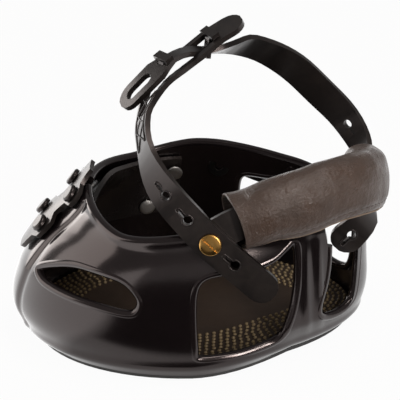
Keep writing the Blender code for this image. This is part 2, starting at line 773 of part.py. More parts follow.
def add_bosses(shell, cutters):
    """Join the two flat bosses that the ring's straps lie on."""
    axis = pivot_axis()
    near = frame_matrix(near_pivot(), axis)
    face = -near_stack()
    add(shell, rod("near_boss", near, BOSS_RADIUS, face - NEAR_BOSS_PROUD - WALL / 2, face, cutters))
    far = frame_matrix(far_pivot(), -axis)
    face = -GAP - STRAP_THICKNESS / 2
    add(shell, rod("far_boss", far, BOSS_RADIUS, face - FAR_BOSS_PROUD - WALL / 2, face, cutters))


def cut_windows(shell, cutters):
    """Cut the quarter windows, rear notches, vents and dorsal slit."""
    across = Matrix(((0, 0, 1, 0), (1, 0, 0, 0), (0, 1, 0, 0), (0, 0, 0, 1)))
    notches = smooth_outline([(y * HEEL_REACH, z * FRONT_RIM) for y, z in REAR_NOTCH_SHARES])
    cut(shell, outline_prism("rear_notches", notches, HALF_WIDTH + OVERRUN, across, cutters))
    rear = max(y for y, _ in QUARTER_WINDOW_SHARES)
    for side, length in ((1, 1.0), (-1, FAR_WINDOW_SHARE)):
        window = smooth_outline([((rear + (y - rear) * length) * HEEL_REACH, z * FRONT_RIM)
                                 for y, z in QUARTER_WINDOW_SHARES])
        frame = Matrix.Translation((side * HALF_WIDTH, 0, 0)) @ across
        cut(shell, outline_prism("quarter_window", window, HALF_WIDTH / 2, frame, cutters))
    toe_x, toe_y, _ = VENT_SHARES[0]
    for side, length in ((1, 1.0), (-1, FAR_VENT_SHARE)):
        corners = []
        for x, y, z in VENT_SHARES:
            across_share = toe_x + (x - toe_x) * length
            along_share = toe_y + (y - toe_y) * length
            corners.append(Vector((across_share * HALF_WIDTH * side, along_share * TOE_REACH, z * FRONT_RIM)))
        middle = sum(corners, Vector()) / len(corners)
        direction = Vector(VENT_DIRECTION_SHARES)
        direction.x *= side
        frame = frame_matrix(middle, direction)
        flat = [(frame.inverted() @ corner).xy for corner in corners]
        cut(shell, outline_prism("vent", smooth_outline(flat), WALL * 4, frame, cutters))
    half = SLIT_WIDTH / 2
    top = FRONT_RIM + OVERRUN
    slit = [(half, top), (-half, top)]
    for step in range(SMALL_SIDES + 1):
        turn = math.pi * (1 + step / SMALL_SIDES)
        slit.append((half * math.cos(turn), SLIT_FLOOR + half * (1 + math.sin(turn))))
    forward = Matrix(((1, 0, 0, 0), (0, 0, 1, -TOE_REACH * 0.75), (0, 1, 0, 0), (0, 0, 0, 1)))
    cut(shell, outline_prism("dorsal_slit", slit, TOE_REACH / 2, forward, cutters))


def knob_frames():
    """Return the frame of each front knob, on the toe's outer face."""
    frames = []
    for side, label in ((1, "near"), (-1, "far")):
        for share, level in zip(KNOB_HEIGHT_SHARES, ("lower", "upper")):
            height = share * FRONT_RIM
            x = KNOB_OFFSET * side
            frames.append((f"{label}_{level}", frame_matrix(toe_point(x, height), toe_normal(x, height))))
    return frames


def far_angle(share):
    """Return the angle of the far wall at a share of the front half, from the side to the toe."""
    return math.pi + math.asin(share ** (FRONT_ROUNDNESS / 2))


def tongue_rivet_frames():
    """Return the frame of each tongue rivet on the far wall, pointing out."""
    frames = []
    for place, level in TONGUE_RIVET_SHARES:
        height = level * FRONT_RIM
        angle = far_angle(place)
        frames.append(frame_matrix(outline_point(angle, height), wall_normal(angle, height)))
    return frames


def near_barrel():
    """Return the near barrel's outer face frame and its length down to the flange."""
    axis = pivot_axis()
    half = STRAP_THICKNESS / 2
    depth = half + near_stack() + NEAR_BOSS_PROUD + WALL - SPOT_FACE + GAP
    return frame_matrix(near_pivot() + axis * half, axis), depth


def far_barrel():
    """Return the far barrel's outer face frame and its length down to the flange."""
    axis = -pivot_axis()
    half = STRAP_THICKNESS / 2
    depth = STRAP_THICKNESS + GAP + FAR_BOSS_PROUD + WALL - SPOT_FACE + GAP
    return frame_matrix(far_pivot() + axis * half, axis), depth


def cut_shell_holes(shell, cutters):
    """Drill the shell for the barrels, the knobs' necks and the tongue's rivets."""
    for name, (frame, depth) in (("near", near_barrel()), ("far", far_barrel())):
        hole = BARREL_RADIUS + GAP
        cut(shell, rod(name + "_barrel_hole", frame, hole, -OVERRUN * 4, 0.0, cutters))
        seat = BARREL_FLANGE_RADIUS + GAP
        cut(shell, rod(name + "_spot_face", frame, seat, -depth - OVERRUN, GAP - depth, cutters))
    for name, frame in knob_frames():
        cut(shell, rod(name + "_knob_hole", frame, KNOB_NECK_RADIUS + GAP, -OVERRUN * 2, OVERRUN, cutters,
                       sides=SMALL_SIDES))
    for index, frame in enumerate(tongue_rivet_frames()):
        cut(shell, rod(f"rivet_hole_{index}", frame, TONGUE_RIVET_SHANK + GAP, -OVERRUN * 2, OVERRUN, cutters,
                       sides=SMALL_SIDES))


def build_outsole(parts, cutters, materials):
    """Model the tread plate with its rim lugs, toe and heel bars and a flat middle pad."""
    angles = [math.tau * i / SHELL_STATIONS for i in range(SHELL_STATIONS)]
    outline = [outline_point(angle, SHELL_BASE, OUTSOLE_INSET).xy for angle in angles]
    thickness = SHELL_BASE - GAP - LUG_HEIGHT
    frame = Matrix.Translation((0, 0, LUG_HEIGHT + thickness / 2))
    plate = outline_prism("outsole", outline, thickness / 2, frame, parts, materials["tread"])
    mesh = bmesh.new()
    depth = LUG_HEIGHT + thickness / 2
    inset = OUTSOLE_INSET + LUG_INSET
    track = [outline_point(angle, SHELL_BASE, inset) for angle in angles + [math.tau]]
    border = Route(track, [Vector((0, 0, 1))] * len(track))
    for index in range(LUG_COUNT):
        here, along, _, _ = border.at((index + 0.5) / LUG_COUNT)
        turn = Matrix.Rotation(math.atan2(along.y, along.x), 4, "Z")
        place = Matrix.Translation((here.x, here.y, depth / 2)) @ turn
        size = Matrix.Diagonal((LUG_LENGTH, LUG_WIDTH, depth, 1.0))
        bmesh.ops.create_cube(mesh, size=1.0, matrix=place @ size)
    for index in range(TREAD_BAR_COUNT):
        y = TREAD_BAR_STEP * (index - (TREAD_BAR_COUNT - 1) / 2)
        place = Matrix.Translation((0, y, depth / 2))
        size = Matrix.Diagonal((TREAD_BAR_HALF_LENGTH * 2, TREAD_BAR_WIDTH, depth, 1.0))
        bmesh.ops.create_cube(mesh, size=1.0, matrix=place @ size)
    lugs = object_from_bmesh("lugs", mesh, cutters)
    return add(plate, lugs)


def build_footbed(parts, materials):
    """Model the pad on the shell's floor."""
    angles = [math.tau * i / SHELL_STATIONS for i in range(SHELL_STATIONS)]
    outline = [outline_point(angle, FLOOR_TOP, WALL + FOOTBED_CLEARANCE).xy for angle in angles]
    middle = FLOOR_TOP + GAP + FOOTBED_THICKNESS / 2
    return outline_prism("footbed", outline, FOOTBED_THICKNESS / 2, Matrix.Translation((0, 0, middle)), parts,
                         materials["footbed"])


def tongue_gap(share):
    """Return the tongue's distance from the wall: wide behind the front knobs, close at its ends."""
    return TONGUE_SIDE_GAP + (TONGUE_FRONT_GAP - TONGUE_SIDE_GAP) * math.sin(math.pi * share) ** 2


def tongue_surface(share, level):
    """Return a point on the tongue's outer face; share runs from its near edge to its far edge."""
    angle = math.radians(TONGUE_NEAR_DEGREES + (TONGUE_FAR_DEGREES - TONGUE_NEAR_DEGREES) * share)
    lower = spline(TONGUE_LOWER_SHARES, share) * FRONT_RIM
    upper = spline(TONGUE_UPPER_SHARES, share) * FRONT_RIM
    return outline_point(angle, lower + (upper - lower) * level, WALL + tongue_gap(share))


def build_tongue(parts, cutters, materials):
    """Model the curved tongue inside the toe and the rivets that hold it to the far wall."""
    rows = []
    for level in range(TONGUE_LEVELS + 1):
        share = level / TONGUE_LEVELS
        rows.append([tongue_surface(i / TONGUE_STATIONS, share) for i in range(TONGUE_STATIONS + 1)])
    tongue = sheet("tongue", rows, TONGUE_THICKNESS, 1.0, parts, materials["foam"])
    inner_face = WALL + TONGUE_SIDE_GAP + TONGUE_THICKNESS
    for index, frame in enumerate(tongue_rivet_frames()):
        cut(tongue, rod(f"tongue_hole_{index}", frame, TONGUE_RIVET_SHANK + GAP, -OVERRUN * 3, OVERRUN,
                        cutters, sides=SMALL_SIDES))
        head = -inner_face - GAP * 2 - TONGUE_RIVET_HEAD / 2
        profile = [
            (0.0, TONGUE_RIVET_TAIL + GAP), (TONGUE_RIVET_TAIL_RADIUS, TONGUE_RIVET_TAIL + GAP),
            (TONGUE_RIVET_TAIL_RADIUS, GAP), (TONGUE_RIVET_SHANK, GAP),
            (TONGUE_RIVET_SHANK, head), (TONGUE_RIVET_RADIUS, head),
            (TONGUE_RIVET_RADIUS, head - TONGUE_RIVET_HEAD / 2),
            (TONGUE_RIVET_RADIUS / 2, head - TONGUE_RIVET_HEAD), (0.0, head - TONGUE_RIVET_HEAD),
        ]
        turned(f"tongue_rivet_{index + 1}", profile, frame, parts, materials["steel"], SMALL_SIDES)
    return tongue


def build_front_strap(parts, cutters, materials):
    """Model the moulded strap over the dorsal slit, the knobs that hold it and their inner rivets."""
    rows = []
    for height_share, width_share in FRONT_PLATE_SHARES:
        height = height_share * FRONT_RIM
        half = width_share * FRONT_PLATE_HALF_WIDTH
        row = []
        for column in range(FRONT_PLATE_COLUMNS + 1):
            x = half * (2 * column / FRONT_PLATE_COLUMNS - 1)
            row.append(toe_point(x, height) + toe_normal(x, height) * FRONT_PLATE_PROUD)
        rows.append(row)
    plate = sheet("front_strap", rows, FRONT_PLATE_THICKNESS, 1.0, parts, materials["strap"])
    top = FRONT_PLATE_PROUD + FRONT_PLATE_THICKNESS + GAP
    spacer_low = GAP * 1.5
    spacer_high = FRONT_PLATE_PROUD - GAP
    for name, frame in knob_frames():
        cut(plate, rod(name + "_plate_hole", frame, KNOB_NECK_RADIUS + GAP, 0.0, OVERRUN * 2, cutters,
                       sides=SMALL_SIDES))
        profile = [
            (0.0, top + KNOB_CAP), (KNOB_RADIUS * 0.8, top + KNOB_CAP), (KNOB_RADIUS, top + KNOB_CAP * 0.7),
            (KNOB_RADIUS, top), (KNOB_NECK_RADIUS, top), (KNOB_NECK_RADIUS, spacer_high),
            (KNOB_SPACER_RADIUS, spacer_high), (KNOB_SPACER_RADIUS, spacer_low),
            (KNOB_NECK_RADIUS, spacer_low), (KNOB_NECK_RADIUS, -KNOB_WALL_DEPTH), (0.0, -KNOB_WALL_DEPTH),
        ]
        turned("front_knob_" + name, profile, frame, parts, materials["strap"], SMALL_SIDES)
        low = -KNOB_WALL_DEPTH - GAP
        rivet = [
            (0.0, low), (RIVET_HEAD_RADIUS, low), (RIVET_HEAD_RADIUS, low - RIVET_HEAD),
            (0.0, low - RIVET_HEAD),
        ]
        turned("knob_rivet_" + name, rivet, frame, parts, materials["steel"], SMALL_SIDES)
    return plate


def keyhole(strap, name, route, share, cutters):
    """Cut a round hole with a short slot along the strap, for a knob or a screw."""
    place, along, _, outward = route.at(share)
    half = KEYHOLE_SLOT_WIDTH / 2
    first = math.asin(half / KEYHOLE_RADIUS)
    outline = [(KEYHOLE_SLOT_LENGTH, -half), (KEYHOLE_SLOT_LENGTH, half)]
    for step in range(SMALL_SIDES + 1):
        turn = first + (math.tau - 2 * first) * step / SMALL_SIDES
        outline.append((KEYHOLE_RADIUS * math.cos(turn), KEYHOLE_RADIUS * math.sin(turn)))
    cut(strap, outline_prism(name, outline, OVERRUN, frame_matrix(place, outward, along), cutters))


def pivot_hole(strap, name, place, direction, cutters):
    """Cut the round hole that a strap turns on its barrel with."""
    frame = frame_matrix(place, direction)
    cut(strap, rod(name, frame, BARREL_RADIUS + GAP, -OVERRUN, OVERRUN, cutters))


def build_near_strap(parts, cutters, materials):
    """Model the near pastern strap, with keyholes, a long slot between two rails and a free tip."""
    route = strap_route(NEAR_STRAP_SHARES)
    strap = ribbon("near_pastern_strap", route, (0.0, 1.0), constant(STRAP_WIDTH / 2), STRAP_THICKNESS, parts,
                   materials["strap"])
    slot_half = STRAP_WIDTH / 2 - RAIL_WIDTH
    slot = ribbon("near_long_slot", route, NEAR_SLOT_SHARES, constant(slot_half), OVERRUN * 2, cutters)
    cut(strap, slot)
    centre = route.share_near(near_pivot())
    pivot_hole(strap, "near_strap_pivot", near_pivot(), pivot_axis(), cutters)
    pitch = NEAR_KEYHOLE_PITCH / route.length
    for step in (-1, 1, 2):
        keyhole(strap, f"near_keyhole_{step + 1}", route, centre + step * pitch, cutters)
    return strap, route


def far_half_width(share):
    """Return the far strap's half width: narrow where it passes between the near strap's rails."""
    wide = STRAP_WIDTH / 2
    narrow = TONGUE_STRAP_WIDTH / 2
    start, full, until, end = FAR_NARROW_SHARES
    if share <= start or share >= end:
        return wide
    if share < full:
        return wide + (narrow - wide) * (share - start) / (full - start)
    if share > until:
        return narrow + (wide - narrow) * (share - until) / (end - until)
    return narrow


def build_far_strap(parts, cutters, materials):
    """Model the far pastern strap, from its slotted loop end over the pastern to its tail in the heel."""
    route = strap_route(FAR_STRAP_SHARES)
    strap = ribbon("far_pastern_strap", route, (0.0, 1.0), far_half_width, STRAP_THICKNESS, parts,
                   materials["strap"])
    slot_half = TONGUE_STRAP_WIDTH / 2
    slot = ribbon("far_loop_slot", route, FAR_LOOP_SLOT_SHARES, constant(slot_half), OVERRUN * 2, cutters)
    cut(strap, slot)
    for index, share in enumerate(FAR_KEYHOLE_SHARES):
        keyhole(strap, f"far_keyhole_{index}", route, share, cutters)
    return strap, route


def build_closure(near_strap, near_line, far_strap, far_line, parts, cutters, materials):
    """Model the two hooks that join the straps over the pastern's front."""
    prong = Vector(PRONG_DIRECTION_SHARES).normalized()
    spots = (
        ("closure_hook_front", far_line.at(FRONT_HOOK_SHARE), FRONT_PRONG_LENGTH),
        ("closure_hook_rear", rear_hook_spot(near_line, far_line), REAR_PRONG_LENGTH),
    )
    for name, (place, along, across, outward), length in spots:
        seat = STRAP_THICKNESS / 2 + GAP
        head_frame = frame_matrix(place, outward, along)
        head_size = (HOOK_HEAD_LENGTH, HOOK_HEAD_WIDTH, HOOK_HEAD_HEIGHT)
        head = block(name, head_frame, head_size, (0, 0, seat + HOOK_HEAD_HEIGHT / 2), parts,
                     materials["strap"])
        stem_frame = frame_matrix(place + outward * (seat + HOOK_HEAD_HEIGHT / 2), prong, along)
        stem_size = (HOOK_PRONG_THICKNESS, HOOK_PRONG_WIDTH, length)
        add(head, block(name + "_prong", stem_frame, stem_size, (0, 0, length / 2), cutters))
        clear = HOOK_SLOT_CLEARANCE * 2
        hole_size = (HOOK_PRONG_THICKNESS + clear, HOOK_PRONG_WIDTH + clear, length + OVERRUN)
        hole = block(name + "_hole", stem_frame, hole_size, (0, 0, length / 2), cutters)
        cut(far_strap, hole)
        if name == "closure_hook_rear":
            cut(near_strap, hole)


def rear_hook_spot(near_line, far_line):
    """Return the place on the near strap that lies over the rear hook's place on the far strap."""
    target = far_line.at(REAR_HOOK_SHARE)[0]
    return near_line.at(near_line.share_near(target))


def build_heel_strap(parts, cutters, materials):
    """Model the heel strap that carries the gaiter, from the near pivot to the far one."""
    route = heel_route()
    strap = ribbon("heel_strap", route, (0.0, 1.0), constant(STRAP_WIDTH / 2), STRAP_THICKNESS, parts,
                   materials["strap"])
    return strap, route


def barrel_and_screw(name, frame, depth, parts, cutters, materials):
    """Model a flanged barrel nut and its slotted screw; the frame's Z looks out of the stack's outer face."""
    nut = [
        (BARREL_BORE, 0.0), (BARREL_RADIUS, 0.0), (BARREL_RADIUS, -depth), (BARREL_FLANGE_RADIUS, -depth),
        (BARREL_FLANGE_RADIUS, -depth - BARREL_FLANGE), (BARREL_BORE, -depth - BARREL_FLANGE),
    ]
    turned("barrel_nut_" + name, nut, frame, parts, materials["blackened"])
    top = GAP + SCREW_HEAD
    bolt = [
        (0.0, top), (SCREW_HEAD_RADIUS * 0.86, top), (SCREW_HEAD_RADIUS, top - SCREW_HEAD * 0.3),
        (SCREW_HEAD_RADIUS, GAP), (SCREW_SHANK_RADIUS, GAP), (SCREW_SHANK_RADIUS, -SCREW_SHANK_LENGTH),
        (0.0, -SCREW_SHANK_LENGTH),
    ]
    screw = turned("strap_screw_" + name, bolt, frame, parts, materials["brass"])
    size = (SCREW_HEAD_RADIUS * 3, SCREW_SLOT_WIDTH, SCREW_SLOT_DEPTH * 2)
    cut(screw, block("screw_slot_" + name, frame, size, (0, 0, top), cutters))


def build_fasteners(heel_strap, far_strap, parts, cutters, materials):
    """Model the near, far and heel screws with their barrel nuts, and the holes that they pass."""
    axis = pivot_axis()
    frame, depth = near_barrel()
    barrel_and_screw("near", frame, depth, parts, cutters, materials)
    pivot_hole(heel_strap, "heel_near_pivot", near_pivot() - axis * (STRAP_THICKNESS + GAP), axis, cutters)
    frame, depth = far_barrel()
    barrel_and_screw("far", frame, depth, parts, cutters, materials)
    pivot_hole(heel_strap, "heel_far_pivot", far_pivot(), -axis, cutters)
    inner, outer = heel_joint()
    rearward = Vector((0, 1, 0))
    face = outer + rearward * (STRAP_THICKNESS / 2)
    depth = (outer - inner).length + STRAP_THICKNESS + GAP + HEEL_BEND_ALLOWANCE
    barrel_and_screw("heel", frame_matrix(face, rearward), depth, parts, cutters, materials)
    pivot_hole(heel_strap, "heel_joint_inner", inner, rearward, cutters)
    pivot_hole(far_strap, "heel_joint_outer", outer, rearward, cutters)


def heel_joint():
    """Return where the heel screw passes the heel strap and the far strap, on the boot's middle."""
    return ring_point(HEEL_JOINT_INNER_SHARES), ring_point(HEEL_JOINT_OUTER_SHARES)


def build_gaiter(heel_line, parts, materials):
    """Model the rolled sleeve that hangs on the heel strap, and the foam strip inside it."""
    axis = sleeve_axis()
    count = round(axis.length / STRAP_STEP)
    rings = []
    for index in range(count + 1):
        share = index / count
        place, along, _, _ = axis.at(share)
        outward = along.cross(Vector((0, 0, 1))).normalized()
        upward = outward.cross(along)
        depth = SLEEVE_START_DEPTH + (SLEEVE_END_DEPTH - SLEEVE_START_DEPTH) * share
        full = math.sin(min(1.0, share / SLEEVE_FULL_SHARE) * math.pi / 2)
        height = SLEEVE_START_HEIGHT + (SLEEVE_FULL_HEIGHT - SLEEVE_START_HEIGHT) * full
        hem = spline(SLEEVE_HEM_DEGREES, share)
        skew = SLEEVE_CUT_SKEW * max(0.0, 1 - share * axis.length / SLEEVE_SKEW_LENGTH)
        faces = []
        for inset in (0.0, SLEEVE_WALL):
            face = []
            for step in range(SLEEVE_ARC_STEPS + 1):
                turn = math.radians(hem + (SLEEVE_INNER_DEGREES - hem) * step / SLEEVE_ARC_STEPS)
                across = power(math.cos(turn), 2 / SLEEVE_ROUNDNESS) * (depth - inset)
                rise = power(math.sin(turn), 2 / SLEEVE_ROUNDNESS) * (height - inset)
                slide = along * (skew * math.cos(turn))
                face.append(place + outward * across + upward * rise + slide)
            faces.append(face)
        rings.append(faces[0] + faces[1][::-1])
    sleeve = loft("gaiter_sleeve", rings, parts, materials["sleeve"])
    smooth(sleeve)
    lift = -(STRAP_THICKNESS / 2 + GAP * 2 + PAD_THICKNESS / 2)
    margin = (BARREL_FLANGE_RADIUS + PAD_END_CLEARANCE) / heel_line.length
    span = (PAD_START_SHARE, heel_line.share_near(heel_joint()[0]) - margin)
    pad = ribbon("gaiter_pad", heel_line, span, constant(PAD_WIDTH / 2), PAD_THICKNESS, parts,
                 materials["foam"], rounded=(False, False), lift=lift)
    return sleeve, pad


def hang_on_pivot(parts, names):
    """Parent the ring's pieces to an empty on the pivot's axis."""
    pivot = bpy.data.objects.new("ring_pivot", None)
    parts.objects.link(pivot)
    pivot.matrix_world = frame_matrix((near_pivot() + far_pivot()) / 2, pivot_axis())
    bpy.context.view_layer.update()
    for name in names:
        piece = bpy.data.objects[name]
        piece.parent = pivot
        piece.matrix_parent_inverse = pivot.matrix_world.inverted()


def main():
    """Build the whole boot."""
    clear_scene()
    parts = new_collection(BOOT_COLLECTION)
    cutters = new_collection(CUTTER_COLLECTION)
    materials = make_materials()
    build_shell(parts, cutters, materials)
    build_outsole(parts, cutters, materials)
    build_footbed(parts, materials)
    build_tongue(parts, cutters, materials)
    build_front_strap(parts, cutters, materials)
    near_strap, near_line = build_near_strap(parts, cutters, materials)
    far_strap, far_line = build_far_strap(parts, cutters, materials)
    build_closure(near_strap, near_line, far_strap, far_line, parts, cutters, materials)
    heel_strap, heel_line = build_heel_strap(parts, cutters, materials)
    build_fasteners(heel_strap, far_strap, parts, cutters, materials)
    build_gaiter(heel_line, parts, materials)
    hang_on_pivot(parts, (
        "near_pastern_strap", "far_pastern_strap", "heel_strap", "closure_hook_front", "closure_hook_rear",
        "gaiter_sleeve", "gaiter_pad", "barrel_nut_heel", "strap_screw_heel",
    ))


main()
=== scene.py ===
import logging
import math
from dataclasses import dataclass, field, replace
from enum import Enum

import bmesh
import bpy
from bpy.types import Material, Mesh, Node, NodeSocket, NodeTree, Object, Scene, World
from mathutils import Matrix, Vector, noise


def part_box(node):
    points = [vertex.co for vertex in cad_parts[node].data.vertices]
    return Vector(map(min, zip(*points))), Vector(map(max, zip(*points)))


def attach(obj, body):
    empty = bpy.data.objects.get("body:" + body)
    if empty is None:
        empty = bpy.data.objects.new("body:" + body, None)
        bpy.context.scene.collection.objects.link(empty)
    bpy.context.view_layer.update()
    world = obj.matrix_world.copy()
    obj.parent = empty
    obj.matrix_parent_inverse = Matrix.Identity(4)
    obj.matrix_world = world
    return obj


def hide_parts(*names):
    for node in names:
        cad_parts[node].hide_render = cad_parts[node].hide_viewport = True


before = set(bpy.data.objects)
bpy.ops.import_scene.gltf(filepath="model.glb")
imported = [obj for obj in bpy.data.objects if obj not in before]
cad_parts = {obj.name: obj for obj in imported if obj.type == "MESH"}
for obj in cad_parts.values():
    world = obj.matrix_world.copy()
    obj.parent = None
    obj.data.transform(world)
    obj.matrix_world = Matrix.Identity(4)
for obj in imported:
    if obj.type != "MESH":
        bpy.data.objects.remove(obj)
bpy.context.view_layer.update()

LOG = logging.getLogger("hoof_boot")
PHOTO_PIXELS = 400
MM = 0.001
MM_PER_METRE = 1000
# A wave texture whose scale is one turns through so many radians in a metre
WAVE_RADIANS = 20
# Faces of a CAD node that turn by less than this are parts of one face
FLAT_DEGREES = 0.7
# Noise textures mostly keep between these values
NOISE_RANGE = (0.3, 0.7)
# From the first of these values of pointiness to the second, edges are paled more and more: rubbed wear, and
# on the tongue's folds a painted sheen
RUBBED = (0.53, 0.62)
# The straight line through both pivots: its parts towards the near side and upwards
PIVOT_LINE = (0.99149, 0.13021)

Ring = list[Vector]


# Colours and shader nodes


def linear(code: str) -> tuple[float, float, float, float]:
    """Turn an sRGB hex colour into a linear one.

    Args:
        code: Six hex digits after a hash sign.

    Returns:
        Red, green, blue and an alpha of one.
    """
    channels = [int(code[i:i + 2], 16) / 255 for i in (1, 3, 5)]
    red, green, blue = (c / 12.92 if c <= 0.04045 else ((c + 0.055) / 1.055) ** 2.4 for c in channels)
    return red, green, blue, 1.0


def add_node(tree: NodeTree, kind: str, settings: dict | None = None, **sockets: object) -> Node:
    """Add a node with its settings, its constant values and its links.

    Args:
        tree: The shader or geometry tree.
        kind: The node's type name.
        settings: Attributes of the node itself.
        **sockets: A value, or an output to link, for each input; a digit after i is the input's place.

    Returns:
        The new node.
    """
    node = tree.nodes.new(kind)
    for name, value in (settings or {}).items():
        setattr(node, name, value)
    for name, value in sockets.items():
        key = int(name[1:]) if name[0] == "i" and name[1:].isdigit() else name.replace("_", " ")
        socket = node.inputs[key]
        if isinstance(value, NodeSocket):
            tree.links.new(value, socket)
        else:
            socket.default_value = value
    return node


def emptied(owner: Material | World) -> NodeTree:
    """Return the node tree of a new material or world, with nothing in it.

    Args:
        owner: The new material or world.

    Returns:
        Its node tree.
    """
    owner.use_nodes = True
    owner.node_tree.nodes.clear()
    return owner.node_tree


class Pattern(Enum):
    """Which coordinates a finish's pattern lies on."""

    SOLID = "Object"
    CLOTH = "UV"


@dataclass(frozen=True)
class Finish:
    """A surface: how it was made, its colours and its roughness.

    The mottle is the slow change of colour across a moulding, the grain is its fine texture, and both
    scales are in millimetres.
    """

    name: str
    colour: str
    shade: str
    roughness: float
    spread: float = 0.08
    mottle_mm: float = 30.0
    grain_mm: float = 0.8
    grain_height_mm: float = 0.02
    wear_and_sheen_colour: str | None = None
    wear: float = 0.0
    wear_mm: float = 2.5
    metallic: float = 0.0
    ior: float = 1.5
    coat: float = 0.0
    coat_roughness: float = 0.1
    tint: str = "#ffffff"
    sheen: float = 0.0
    pattern: Pattern = Pattern.SOLID

    def build(self) -> Material:
        """Make the material.

        Returns:
            The material, with its mottle, grain and wear.
        """
        material = bpy.data.materials.new(self.name)
        tree = emptied(material)
        shader = add_node(tree, "ShaderNodeBsdfPrincipled", Metallic=self.metallic, IOR=self.ior,
                          Coat_Weight=self.coat, Coat_Roughness=self.coat_roughness,
                          Specular_Tint=linear(self.tint), Sheen_Weight=self.sheen, Sheen_Roughness=0.5)
        add_node(tree, "ShaderNodeOutputMaterial", Surface=shader.outputs[0])
        where = add_node(tree, "ShaderNodeTexCoord").outputs[self.pattern.value]
        mottle = add_node(tree, "ShaderNodeTexNoise", Vector=where, Scale=MM_PER_METRE / self.mottle_mm,
                          Detail=5.0, Roughness=0.6).outputs[0]
        colour = add_node(tree, "ShaderNodeMix", {"data_type": "RGBA"}, Factor=mottle,
                          i6=linear(self.colour), i7=linear(self.shade)).outputs[2]
        colour = self.wear_and_sheen(tree, where, colour)
        rough = add_node(tree, "ShaderNodeMapRange", Value=mottle, From_Min=NOISE_RANGE[0],
                         From_Max=NOISE_RANGE[1], To_Min=self.roughness - self.spread,
                         To_Max=self.roughness + self.spread).outputs[0]
        bump = add_node(tree, "ShaderNodeBump", Strength=1.0, Distance=self.grain_height_mm * MM,
                        Height=self.relief(tree, where)).outputs[0]
        tree.links.new(colour, shader.inputs["Base Color"])
        tree.links.new(rough, shader.inputs["Roughness"])
        tree.links.new(bump, shader.inputs["Normal"])
        return material

    def wear_and_sheen(self, tree: NodeTree, where: NodeSocket, colour: NodeSocket) -> NodeSocket:
        """Pale the finish's edges and high spots with its wear and sheen colour: rubbed wear, and on the
        tongue's folds a painted sheen.

        Args:
            tree: The material's tree.
            where: The pattern's coordinates.
            colour: The colour so far.

        Returns:
            The colour with its wear and its painted sheen.
        """
        if self.wear_and_sheen_colour is None:
            return colour
        edge = add_node(tree, "ShaderNodeNewGeometry").outputs["Pointiness"]
        sharp = add_node(tree, "ShaderNodeMapRange", Value=edge, From_Min=RUBBED[0], From_Max=RUBBED[1],
                         To_Max=self.wear).outputs[0]
        speck = add_node(tree, "ShaderNodeTexNoise", Vector=where, Scale=MM_PER_METRE / self.wear_mm,
                         Detail=4.0).outputs[0]
        patchy = add_node(tree, "ShaderNodeMath", {"operation": "MULTIPLY"}, i0=sharp, i1=speck).outputs[0]
        return add_node(tree, "ShaderNodeMix", {"data_type": "RGBA"}, Factor=patchy, i6=colour,
                        i7=linear(self.wear_and_sheen_colour)).outputs[2]

    def relief(self, tree: NodeTree, where: NodeSocket) -> NodeSocket:
        """Return the height of the finish's fine grain, from nought to one, at the pattern's coordinates."""
        return add_node(tree, "ShaderNodeTexNoise", Vector=where, Scale=MM_PER_METRE / self.grain_mm,
                        Detail=3.0).outputs[0]


@dataclass(frozen=True)
class TurnedFinish(Finish):
    """Metal that came off a lathe, with rings about its centre."""

    # A ring takes about six of these, 2.2 mm, because real rings are too fine to show
    radian_mm: float = 0.35
    centre: tuple[float, float, float] = (0.0, 0.0, 0.0)

    def relief(self, tree: NodeTree, where: NodeSocket) -> NodeSocket:
        """Return the height of the lathe's rings, which are spheres about the centre."""
        moved = add_node(tree, "ShaderNodeMapping", {"vector_type": "POINT"}, Vector=where,
                         Location=tuple(-c for c in self.centre)).outputs[0]
        return add_node(tree, "ShaderNodeTexWave", {"wave_type": "RINGS", "rings_direction": "SPHERICAL"},
                        Vector=moved, Scale=MM_PER_METRE / self.radian_mm / WAVE_RADIANS, Distortion=1.5,
                        Detail=3.0, Detail_Scale=2.0).outputs["Fac"]


@dataclass(frozen=True)
class WovenFinish(Finish):
    """Cloth faced neoprene: creases and a faint plain weave, on the piece's own UV map in metres."""

    # Real threads are half as wide, too fine to show, so they are drawn this coarse
    thread_mm: float = 0.9
    thread_share: float = 0.03
    crease_mm: float = 9.0

    def relief(self, tree: NodeTree, where: NodeSocket) -> NodeSocket:
        """Return the height of the creases, with the crossing threads faint on them.

        Args:
            tree: The material's tree.
            where: The pattern's coordinates.

        Returns:
            The height, from nought to a little over one.
        """
        scale = MM_PER_METRE / self.thread_mm / WAVE_RADIANS * math.pi
        warp, weft = (add_node(tree, "ShaderNodeTexWave", {"bands_direction": direction}, Vector=where,
                               Scale=scale, Distortion=0.6, Detail=2.0).outputs["Fac"]
                      for direction in ("X", "Y"))
        weave = add_node(tree, "ShaderNodeMath", {"operation": "MULTIPLY"}, i0=warp, i1=weft).outputs[0]
        creases = add_node(tree, "ShaderNodeTexNoise", Vector=where, Scale=MM_PER_METRE / self.crease_mm,
                           Detail=8.0, Roughness=0.65).outputs[0]
        return add_node(tree, "ShaderNodeMath", {"operation": "MULTIPLY_ADD"}, i0=weave,
                        i1=self.thread_share, i2=creases).outputs[0]


